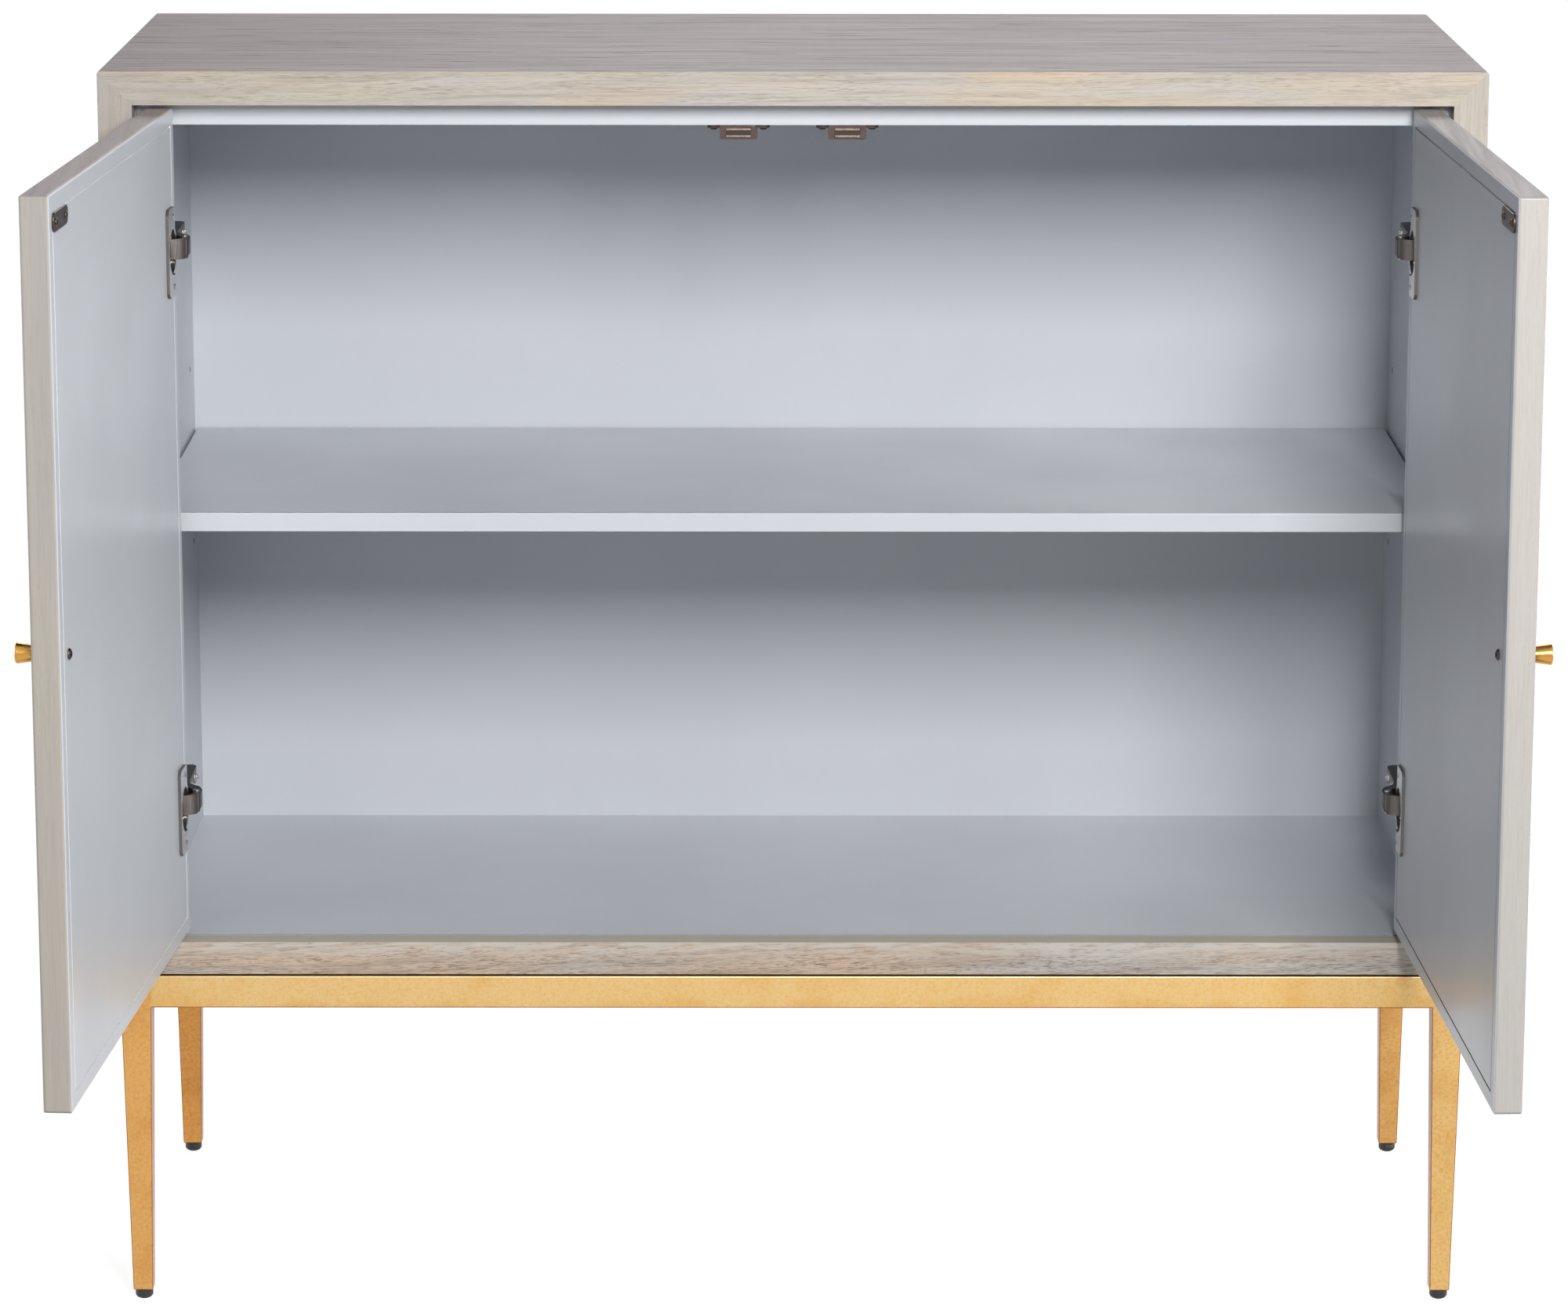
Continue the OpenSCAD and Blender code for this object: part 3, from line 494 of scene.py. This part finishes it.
# %% [markdown]
# ## Veneered boards of the case
# Four boards meet in mitres like a picture frame. One box with one texture would show the grain running
# straight through the joints, so each board stays its own piece and its grain follows its length. The
# slanting edges of the mitres stay sharp, so that the joint closes to a hairline. The front edges carry a
# strip of veneer of their own, and the arris round the front holds a dark line of glaze with a pale
# painted highlight beside it: both are faces of the bevel, picked by the way they look.


# %% Faces and arrises of the boards
RUNS = 5 * MM                   # an edge that goes further than this along an axis runs that way
FRONT_BAND, OUTER_BAND = 2 * MM, 3 * MM


def mitre(edge):
    """The slanting edges where two boards meet."""
    a, b = (v.co for v in edge.verts)
    return abs(abs(a.x) - abs(b.x)) > RUNS and abs(a.z - b.z) > RUNS


def front_or_face(centre, normal):
    """Front edges show the strip veneer; the bottom board's ledge before the floor lining is painted."""
    if normal.z > FACING and centre.z < TOP_LO.z - 0.5 * BOARD:
        return 4
    return 1 if normal.y < -FACING else 0


def arris(centre, normal):
    """Dark glaze along the outer arrises of the front, and a pale painted highlight just inside them on the faces
    that look forward.
    """
    if centre.y > FRONT_Y + FRONT_BAND:
        return 0
    if centre.z < TOP_HI.z - OUTER_BAND and abs(centre.x) < HALF_W - OUTER_BAND:
        return 1
    return 2 if max(normal.z, abs(normal.x)) > 0.5 else 3


print("the glaze runs along the front, at y = %.0f mm" % (FRONT_Y / MM))

# %% Boards of the case
for node, strip in (("top_panel", OAK_STRIP), ("bottom_panel", OAK_SILL)):
    refined(node, "veneered_" + node, [OAK_TOP, strip, GLAZE_LINE, OAK_ARRIS_HIGHLIGHT, LEDGE_STRIP],
            bevel=0.8 * MM, paint=front_or_face, bevel_wear_and_light=arris if node == "top_panel" else None, keep=mitre)
for node in ("left_side_panel", "right_side_panel"):
    refined(node, "veneered_" + node, [OAK_SIDE, OAK_POST, GLAZE_LINE, OAK_POST, OAK_SIDE],
            bevel=0.6 * MM, paint=front_or_face, bevel_wear_and_light=arris, keep=mitre)

# %% [markdown]
# ## Doors
# A door is a veneered panel with lipped edges, painted inside, where a fine groove frames the paint. The
# doors stand open, so their faces don't lie along the axes. A face is therefore sorted by how far it looks
# along the door's own inward direction, and the veneer's coordinates are turned back by the opening angle,
# so the grain stays upright on the door. The arrises of the paint and the walls of the groove take a
# painted highlight on the left door and painted shade on the right one.

# %% Veneers of the doors
# Tones of the lipped edge and of the top, the gloss of the top, seeds, and the lacquer on the arris: a painted
# highlight on the left door, painted shade on the right.
DOOR = {"left": {"edge": ("a8a299", "999289", "a19d98"), "top": ("a19895", "857d7b", "999192"),
                 "gloss": 0.2, "seeds": (2.1, 3.3, 4.1), "arris": LACQUER_ARRIS_HIGHLIGHT},
        "right": {"edge": ("a7a29e", "9e9993", "a3a09c"), "top": ("96918f", "7d7876", "918c8b"),
                  "gloss": 0.28, "seeds": (2.9, 3.7, 4.7), "arris": GROOVE_SHADE}}


def door_veneers(side):
    """The outer face, the upright edges, and the edges above and below."""
    own, turn, oak = DOOR[side], SIGN[side] * OPEN[side], "limed_oak_%s_door" % side
    seeds = own["seeds"]
    return [limed_oak(oak, "a39b93", "8b837b", "9c9793", "5c534d", "Z", turn, pores=0.35, fleck=0.4,
                      seed=seeds[0]),
            limed_oak(oak + "_edge", *own["edge"], "8a8379", "Z", turn, pores=0.15, band=0.35,
                      rough=0.42, seed=seeds[1]),
            limed_oak(oak + "_top", *own["top"], "544b49", "X", turn, pores=0.1, rough=0.6, band=0.2,
                      gloss=own["gloss"], hair=(110, 3.0), hair_share=0.08, seed=seeds[2])]


print("veneers for the", " and the ".join(DOOR), "door")

# %% Doors
MOSTLY = 0.7                    # a looser FACING, for pieces that stand at an angle
ARRIS_LIGHT_BAND = 0.7 * MM            # how far from the inner face the arris takes painted highlight or painted shade


def door(side):
    node = side + "_door_panel"
    low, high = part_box(node)
    corners = [NODES[node].matrix_world @ v.co for v in NODES[node].data.vertices]
    reach = [v.dot(ACROSS[side]) for v in corners]
    near, far = min(reach), max(reach)
    inner_face = max(v.dot(INWARD[side]) for v in corners)

    def paint(centre, normal):
        """Lacquer on the inner face and the groove's floor, the door's painted highlight or painted shade on the
        groove's walls, veneer outside and on the four edges.
        """
        inward = normal.dot(INWARD[side])
        if abs(inward) > MOSTLY:
            return 0 if inward > 0 else 1
        if abs(normal.z) > 0.5:
            return 3 if min(centre.z - low.z, high.z - centre.z) < MM else 4
        level = centre.dot(ACROSS[side])
        return 2 if min(level - near, far - level) < MM else 4

    def bevel_wear_and_light(centre, normal):
        """The arris of the inner face and of its groove takes the door's painted light: a highlight on the left
        door, shade on the right.
        """
        return 4 if inner_face - centre.dot(INWARD[side]) < ARRIS_LIGHT_BAND else 2

    # the arris lacquer is painted light: a highlight on the left door, shade on the right
    refined(node, side + "_door", [LACQUER, *door_veneers(side), DOOR[side]["arris"]], paint=paint,
            bevel=0.45 * MM, bevel_wear_and_light=bevel_wear_and_light)


for side in SIGN:
    door(side)

# %% [markdown]
# ## Gilded base
# Four rails and four tapered legs are laid with leaf and then rubbed. A brush would wear the arrises first,
# so their bevel faces take other leaf than the flats: rubbed through to the red ground, save the upper
# arris of the rails, which takes a painted highlight. The leaf is warmer on the two left legs and paler on
# the two right ones, and the faces that look across between the legs take a paler leaf as painted
# reflection. Edges where two gilded parts meet stay sharp. The legs stand on black glides, and strips of
# packing hold the base off the case; the packing is near black, painted shade for the dark line between them.


# %% Where the leaf is worn
LEG_HEAD = 225 * MM             # the rails meet the legs above this height


def leg_paint(centre, normal):
    """The faces that look across between the legs take a paler, greyer leaf: a painted reflection."""
    return 2 if normal.x * centre.x < -0.5 * abs(centre.x) else 0


def rail_arris(centre, normal):
    """The upper arris takes a painted highlight; the lower one is rubbed through to the ground."""
    return 2 if 0.2 < normal.z < 0.9 else 1


def rail_end(edge):
    """Upright edges, where rails and legs meet."""
    return abs(edge.verts[0].co.z - edge.verts[1].co.z) > RUNS


def leg_top(edge):
    """The level edges at the head of a leg."""
    heights = [v.co.z for v in edge.verts]
    return max(heights) > LEG_HEAD and max(heights) - min(heights) < 50 * MM


print("the legs meet the rails above %.0f mm" % (LEG_HEAD / MM))

# %% Gilded base
for node in ("front_rail", "rear_rail", "left_rail", "right_rail"):
    refined(node, "gilded_" + node, [GOLD, GOLD_EDGE, GOLD_ARRIS_HIGHLIGHT], bevel=1.0 * MM, bevel_wear_and_light=rail_arris,
            keep=rail_end)
for node, leaf in (("front_left_leg", GOLD_LEFT_LEG), ("front_right_leg", GOLD_RIGHT_LEG),
                   ("rear_left_leg", GOLD_REAR_LEFT), ("rear_right_leg", GOLD_REAR_RIGHT)):
    refined(node, "gilded_" + node, [leaf, GOLD_EDGE, GOLD_LEG_SIDE_REFLECTION], bevel=0.7 * MM, paint=leg_paint,
            bevel_wear_and_light=lambda c, n: 1, keep=leg_top)
refined("leg_glides", "moulded_leg_glides", [GLIDE_BLACK])
# the packing is near black, painted shade for the gap between base and case
refined("base_packing", "packing_strips_painted_shade", [PACKING_PAINTED_SHADE])

# %% [markdown]
# ## Raised rims of the hinge flanges
# The flange of a cup hinge is pressed from sheet, and seen along the door it shows a rim that stands a
# little proud round the mouth of the cup. It could be its own piece, but it is the same pressing as the
# cup, so its outline is drawn on the shut door, turned with the door and built into the cup's own mesh.

# %% Flange rims
AXIS_IN, AXIS_BACK = 12, 4      # the door's axis from the inside front corner of the case, in mm
CUP_IN = 24                     # the cup's middle from that corner
FLANGE_HALF = 32.5              # half the flange's height
RIM_FOOT, RIM_HIGH = 20.05, 2.35
MOUTH_R = 17.4
MOUTH = [(MOUTH_R * math.cos(t), MOUTH_R * math.sin(t))
         for t in (math.radians(-106 + 10.6 * i) for i in range(21))]
OUTLINE = [(-4.8, 32.7), (16.1, 32.7), (20.2, 28.6), (20.2, -28.6), (16.1, -32.7), (-4.8, -32.7), *MOUTH]


def on_door(side, x, y, z):
    """A point of the shut door, x and y in mm from the corner of the opening, where the door stands."""
    stands = PIVOT[side] + (x - AXIS_IN) * MM * ACROSS[side] + (y - AXIS_BACK) * MM * INWARD[side]
    return Vector((stands.x, stands.y, z))


def flange_rims(side):
    low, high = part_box(side + "_hinge_cups")
    rise = on_door(side, 0, RIM_HIGH, 0) - on_door(side, 0, 0, 0)

    def build(bm):
        """Draws the outline round both cups and raises it."""
        for middle in (low.z + FLANGE_HALF * MM, high.z - FLANGE_HALF * MM):
            flat = bm.faces.new([bm.verts.new(on_door(side, CUP_IN + x, RIM_FOOT, middle + z * MM))
                                 for x, z in OUTLINE])
            raised = bmesh.ops.extrude_face_region(bm, geom=[flat], use_keep_orig=True)
            top = [v for v in raised["geom"] if isinstance(v, bmesh.types.BMVert)]
            bmesh.ops.translate(bm, verts=top, vec=rise)
            rim = dict.fromkeys([flat] + [f for v in top for f in v.link_faces])
            bmesh.ops.recalc_face_normals(bm, faces=list(rim))
    return build


print("rims of", len(OUTLINE), "corners")

# %% [markdown]
# ## Hinges, catches and knobs
# Small metal parts are told apart by their edges. Each copy gets a bevel of a quarter to half a
# millimetre, as a pressing, a moulding or a turning has, and the bevel's faces may take a brighter finish
# than the flats: a painted highlight along the edges. The knobs are turned cones, so their walls
# are shaded smooth and only their rims stay crisp.


# %% Hardware
TURNED_CREASE = 30              # degrees; where a turned piece bends less it is shaded smooth


def bright(centre, normal):
    """Every face of the bevel takes the second finish: on the links, plates and catches a painted highlight."""
    return 1


for side in SIGN:
    refined(side + "_hinge_cups", side + "_pressed_cups", [NICKEL, NICKEL, SHEARED], bevel=0.55 * MM,
            paint=lambda c, n: 0 if n.dot(INWARD[side]) > MOSTLY else 2, bevel_wear_and_light=bright,
            more=flange_rims(side))
    # links: nickel darkened as painted shade, with a painted highlight on the bevel
    refined(side + "_hinge_links", side + "_pressed_links", [LINK_NICKEL_PAINTED_SHADE, NICKEL], bevel=0.35 * MM,
            bevel_wear_and_light=bright)
    # arms and plates: nickel darkened as painted shade
    refined(side + "_hinge_arms", side + "_pressed_arms", [NICKEL_PAINTED_SHADE, NICKEL_PAINTED_SHADE], bevel=0.25 * MM)
    refined(side + "_hinge_plates", side + "_pressed_plates", [NICKEL_PAINTED_SHADE, NICKEL], bevel=0.25 * MM,
            bevel_wear_and_light=bright)
    refined(side + "_strike_plate", side + "_bronzed_strike", [BRONZED], bevel=0.3 * MM)
    refined(side + "_catch", side + "_moulded_catch", [CATCH_BROWN, CATCH_EDGE_HIGHLIGHT], bevel=0.3 * MM, bevel_wear_and_light=bright)
    refined(side + "_knob", side + "_turned_knob", [BRASS], smooth=TURNED_CREASE, bevel=0.45 * MM,
            shortest=0.4)
for node, material in (("shelf_pins", ZINC), ("catch_plates", POLE), ("catch_magnets", MAGNET),
                       ("arm_pins", NICKEL)):
    refined(node, "finished_" + node, [material])

# %% [markdown]
# ## Screws
# Some forty screws repeat the same few shapes: a domed or flat head with a cross recess on a plain
# shank. They could be forty copied meshes, but one node tree with named sizes keeps them alike and
# small. The tree turns each point into a screw whose head looks along the point's own axis. The points
# are read off the solids: the middle of each loose part, at the outer end of its head.

# %% The screw tree and its inputs
SCREWS = bpy.data.node_groups.new("cross_head_screws", "GeometryNodeTree")
SCREWS.interface.new_socket("Geometry", in_out="INPUT", socket_type="NodeSocketGeometry")
for title, millimetres in (("Head width", 6.6), ("Head height", 1.9), ("Shank width", 3.0),
                           ("Length", 12.0), ("Recess width", 3.6), ("Recess depth", 1.1)):
    socket = SCREWS.interface.new_socket(title, in_out="INPUT", socket_type="NodeSocketFloat")
    socket.default_value = millimetres * MM
SCREWS.interface.new_socket("Finish", in_out="INPUT", socket_type="NodeSocketMaterial")
SCREWS.interface.new_socket("Geometry", in_out="OUTPUT", socket_type="NodeSocketGeometry")
size = add(SCREWS, "NodeGroupInput").node.outputs
print("inputs of a screw:", ", ".join(item.name for item in size if item.name))

# %% The head: a sphere flattened to the head's height
ball = add(SCREWS, "GeometryNodeMeshUVSphere", {"Segments": 24, "Rings": 12, "Radius": 1.0})
radius = add(SCREWS, "product", [size["Head width"], 0.5])
flattened = add(SCREWS, "ShaderNodeCombineXYZ", [radius, radius, size["Head height"]])
dome = add(SCREWS, "GeometryNodeTransform", {0: ball, "Scale": flattened})
# a block that is a little wider than the sphere takes its lower half away
extent = add(SCREWS, "ShaderNodeCombineXYZ", [size["Head width"], size["Head width"], size["Head height"]])
block = add(SCREWS, "GeometryNodeMeshCube", {"Size": extent})
half_down = add(SCREWS, "ShaderNodeCombineXYZ",
                [0.0, 0.0, add(SCREWS, "product", [size["Head height"], -0.5])])
cutters = [add(SCREWS, "GeometryNodeTransform", {0: block, "Translation": half_down,
                                                 "Scale": (1.2, 1.2, 1.0)})]
print(len(SCREWS.nodes), "nodes so far")

# %% The cross recess: two thin bars sunk into the crown
crown = add(SCREWS, "ShaderNodeCombineXYZ", [0.0, 0.0, size["Head height"]])
narrow = add(SCREWS, "product", [size["Recess width"], 0.26])
wing = add(SCREWS, "ShaderNodeCombineXYZ", [size["Recess width"], narrow, size["Recess depth"]])
for turn in (0.0, math.pi / 2):
    bar = add(SCREWS, "GeometryNodeMeshCube", {"Size": wing})
    cutters.append(add(SCREWS, "GeometryNodeTransform", {0: bar, "Translation": crown,
                                                         "Rotation": (0, 0, turn)}))
head = add(SCREWS, "GeometryNodeMeshBoolean", {"Mesh 1": dome}, operation="DIFFERENCE")
for cutter in cutters:
    SCREWS.links.new(cutter, head.node.inputs["Mesh 2"])
print(len(cutters), "cutters shape the head")

# %% The shank: a plain rod that just reaches into the head
thin = add(SCREWS, "product", [size["Shank width"], 0.5])
rod = add(SCREWS, "GeometryNodeMeshCylinder", {"Vertices": 16, "Radius": thin, "Depth": size["Length"]})
below = add(SCREWS, "ShaderNodeCombineXYZ", [0.0, 0.0, add(SCREWS, "product", [size["Length"], -0.499])])
shank = add(SCREWS, "GeometryNodeTransform", {0: rod, "Translation": below})
screw = add(SCREWS, "GeometryNodeJoinGeometry")
for part in (head, shank):
    SCREWS.links.new(part, screw.node.inputs[0])
print(len(SCREWS.nodes), "nodes so far")

# %% One screw on each point, turned along the point's axis
axis = add(SCREWS, "GeometryNodeInputNamedAttribute", {"Name": "axis"}, data_type="FLOAT_VECTOR")
turned = add(SCREWS, "FunctionNodeAlignRotationToVector", {"Vector": axis}, axis="Z")
many = add(SCREWS, "GeometryNodeInstanceOnPoints", {"Points": size["Geometry"], "Instance": screw,
                                                    "Rotation": turned})
solid = add(SCREWS, "GeometryNodeRealizeInstances", {0: many})
finished = add(SCREWS, "GeometryNodeSetMaterial", {0: solid, "Material": size["Finish"]})
SCREWS.links.new(finished, add(SCREWS, "NodeGroupOutput").inputs[0])
print("screw tree of", len(SCREWS.nodes), "nodes")


# %% From solids to points
def loose_parts(node):
    """Vertex positions of each loose part of a solid, in the order of its mesh."""
    bm = merged(node)
    seen, parts = set(), []
    for first in bm.verts:
        stack, part = [first], []
        while stack:
            vert = stack.pop()
            if vert not in seen:
                seen.add(vert)
                part.append(vert.co.copy())
                stack += [e.other_vert(vert) for e in vert.link_edges]
        if part:
            parts.append(part)
    bm.free()
    return parts


def middle_of(corners):
    """The middle of the box round some points."""
    return Vector((min(v[i] for v in corners) + max(v[i] for v in corners)) / 2 for i in range(3))


def screw_shapes(node, look):
    """The axis and the points of each screw. A head and its shank may be two loose parts: those that lie
    on one line are one screw."""
    shapes = {}
    for part in loose_parts(node):
        middle = middle_of(part)
        axis = Vector((-math.copysign(1, middle.x), 0, 0)) if look is None else look.normalized()
        level = middle - axis * middle.dot(axis)
        line = tuple(round(v / MM) for v in level) + tuple(round(v) for v in axis)
        shapes.setdefault(line, (axis, []))[1].extend(part)
    return shapes.values()


print(len(loose_parts("plate_screws")), "loose screws in plate_screws")


# %% From points to screws
def screws(node, name, material, look=None, head=6.6, height=1.9, shank=3.0, recess=(3.6, 1.1)):
    """Sizes are in mm. look is the way the heads look; without it they look from the side boards towards
    the middle of the cabinet."""
    points, axes, length = [], [], 0
    for axis, part in screw_shapes(node, look):
        middle = middle_of(part)
        far = max((v - middle).dot(axis) for v in part)
        near = min((v - middle).dot(axis) for v in part)
        points.append(middle + axis * (far - height * MM))
        axes.extend(axis)
        length = far - near - height * MM
    mesh = bpy.data.meshes.new(name)
    mesh.from_pydata(points, [], [])
    mesh.attributes.new("axis", "FLOAT_VECTOR", "POINT").data.foreach_set("vector", axes)
    maker = bpy.data.objects.new(name + "_points", mesh)
    scene.collection.objects.link(maker)
    modifier = maker.modifiers.new("screws", "NODES")
    modifier.node_group = SCREWS
    sizes = {"Head width": head * MM, "Head height": height * MM, "Shank width": shank * MM,
             "Length": length, "Recess width": recess[0] * MM, "Recess depth": 2 * recess[1] * MM,
             "Finish": material}
    for item in SCREWS.interface.items_tree:
        if item.in_out == "INPUT" and item.name in sizes:
            modifier[item.identifier] = sizes[item.name]
    made = bpy.data.meshes.new_from_object(maker.evaluated_get(bpy.context.evaluated_depsgraph_get()))
    made.name = name
    maker.modifiers.clear()
    bpy.data.objects.remove(maker)
    made.shade_smooth()
    made.set_sharp_from_angle(angle=math.radians(TURNED_CREASE))
    print("screws in", name + ":", len(points))
    place(name, made, node)


print("a screw is crisp where it bends over %d degrees" % TURNED_CREASE)


# %% All the screws
DOWN = Vector((0, 0, -1))
for side in SIGN:
    screws(side + "_cup_screws", side + "_plated_cup_screws", NICKEL, INWARD[side])
    screws(side + "_strike_screws", side + "_bronzed_strike_screws", BRONZED, INWARD[side], head=5.4,
           height=1.2, recess=(3.0, 0.7))
    screws(side + "_knob_screw", side + "_oiled_knob_screw", OILED, INWARD[side], head=8.0, height=2.2,
           shank=4.0, recess=(4.4, 1.2))
screws("plate_screws", "plated_base_plate_screws", NICKEL)
screws("arm_screws", "plated_arm_screws", NICKEL, head=7.4, height=1.6, shank=4.0)
screws("catch_screws", "bronzed_catch_screws", BRONZED, DOWN, head=5.6, height=1.4, recess=(3.0, 0.8))
screws("stop_panel_screws", "zinc_stop_panel_screws", ZINC, DOWN, head=6.0, height=1.2, recess=(3.2, 0.8))
screws("base_bolts", "zinc_base_bolts", ZINC, DOWN, head=8.0, height=2.4, shank=5.0)

# %% [markdown]
# ## Floor
# The product stands on plain white. A white sheet lit to full white would throw too much light back at
# the cabinet, so the floor is a wide pale sheet that glows almost white for the camera and for
# reflections only, with a share of real shading left in, so that the soft shadow stays under the cabinet.


# %% What the camera and the reflections see
def seen_white(tree, plain, white):
    """Mixes to the white shader for camera, glossy and transmission rays."""
    rays = add(tree, "ShaderNodeLightPath").node.outputs
    mirrored = add(tree, "ShaderNodeMath", [rays["Is Camera Ray"], rays["Is Glossy Ray"]],
                   operation="MAXIMUM")
    seen = add(tree, "ShaderNodeMath", [mirrored, rays["Is Transmission Ray"]], operation="MAXIMUM")
    return add(tree, "ShaderNodeMixShader", [seen, plain, white])


print("the studio is white for camera, glossy and transmission rays")


# %% Floor
def stage_sheet(name, corners, material):
    """A flat sheet that belongs to the studio, not to the cabinet."""
    mesh = bpy.data.meshes.new(name)
    mesh.from_pydata(corners, [], [(0, 1, 2, 3)])
    mesh.materials.append(material)
    sheet = bpy.data.objects.new(name, mesh)
    scene.collection.objects.link(sheet)
    print(name, "%.1f m wide" % sheet.dimensions.x)
    return sheet


WHITE = (1, 1, 1, 1)
SHADOW_FADES = (1.2, 3.0)       # metres from the middle of the cabinet
paper, tree = finish("studio_paper", "b8b8b8", 0.9)
glow = add(tree, "ShaderNodeEmission", {"Color": WHITE, "Strength": 0.9})
shade = add(tree, "ShaderNodeBsdfDiffuse", {"Color": "7c7c7c"})
near_white = add(tree, "ShaderNodeAddShader", [glow, shade])
far_white = add(tree, "ShaderNodeEmission", {"Color": WHITE, "Strength": 1.0})
spot = add(tree, "ShaderNodeTexCoord", out="Object")
distance = add(tree, "ShaderNodeVectorMath", [spot], out="Value", operation="LENGTH")
ground = add(tree, "ShaderNodeMixShader", [add(tree, "smooth step", [distance, *SHADOW_FADES]),
                                           near_white, far_white])
choice = seen_white(tree, tree.nodes[SHADER].outputs[0], ground)
tree.links.new(choice, tree.nodes["Material Output"].inputs["Surface"])
stage_sheet("studio_floor", [(-30, -12, 0), (30, -12, 0), (30, 45, 0), (-30, 45, 0)], paper)

# %% [markdown]
# ## Black card
# In a white studio polished metal looks like white plastic, so a photographer hangs a dark card where the
# metal mirrors it. This one hangs over the cabinet and is seen by nothing but reflections: it puts the
# dark bands on the knobs and pins that tell the eye they are polished, and throws no shadow.

# %% Black card
CARD_Z = 2.25
felt, tree = finish("black_card_felt", "0c0c0c", 0.95)
black_card = stage_sheet("black_card", [(-2.0, -0.5, CARD_Z), (2.0, -0.5, CARD_Z), (2.0, 1.6, CARD_Z),
                                        (-2.0, 1.6, CARD_Z)], felt)
black_card.visible_camera = black_card.visible_diffuse = black_card.visible_shadow = False
black_card.visible_transmission = False

# %% [markdown]
# ## World and lamps
# The studio is lit by a large softbox in front, a fill on each side and one from behind over the top; two
# more stand outside, level with the legs, and light the outer faces. Rectangular area lamps give the soft
# edges of such boxes. The world adds very little light of its own, a little purple, as the paint's shadows
# are; it is white only where the camera, a reflection or a clear material looks at it.

# %% World
world = bpy.data.worlds.new("studio_world")
scene.world = world
world.use_nodes = True
background = world.node_tree.nodes["Background"]
background.inputs["Color"].default_value = (0.92, 0.84, 1.0, 1)
background.inputs["Strength"].default_value = 0.03
plain = add(world.node_tree, "ShaderNodeBackground", {"Color": WHITE, "Strength": 1.0})
choice = seen_white(world.node_tree, background.outputs[0], plain)
world.node_tree.links.new(choice, world.node_tree.nodes["World Output"].inputs["Surface"])
scene.view_settings.view_transform = "Standard"
print("world strength", background.inputs["Strength"].default_value)


# %% Softboxes
def softbox(name, stand, aim, size, power):
    """A softbox on its stand, turned towards a point. Sizes are in metres, its power is in watts."""
    data = bpy.data.lights.new(name, "AREA")
    data.shape, data.energy = "RECTANGLE", power
    data.size, data.size_y = size
    lamp = bpy.data.objects.new(name, data)
    scene.collection.objects.link(lamp)
    lamp.location = stand
    lamp.rotation_euler = (Vector(aim) - Vector(stand)).to_track_quat("-Z", "Y").to_euler()
    print(name, power, "W")


softbox("key_softbox", (0.58, -2.9, 1.93), (0, 0, 0.55), (0.8, 0.9), 106)
softbox("right_fill_softbox", (2.9, -1.9, 1.1), (0, 0, 0.55), (1.0, 1.0), 23)
softbox("left_fill_softbox", (-3.0, -1.2, 2.0), (0.4, -0.4, 0.6), (0.7, 0.7), 5)
softbox("top_softbox", (0.3, 2.6, 2.7), (0, 0, 0.8), (1.8, 1.0), 56)
softbox("outer_left_softbox", (-3.0, 0.7, 0.6), (0, 0.1, 0.5), (1.0, 0.8), 45)
softbox("outer_right_softbox", (3.0, 0.7, 0.6), (0, 0.1, 0.5), (1.0, 0.8), 45)
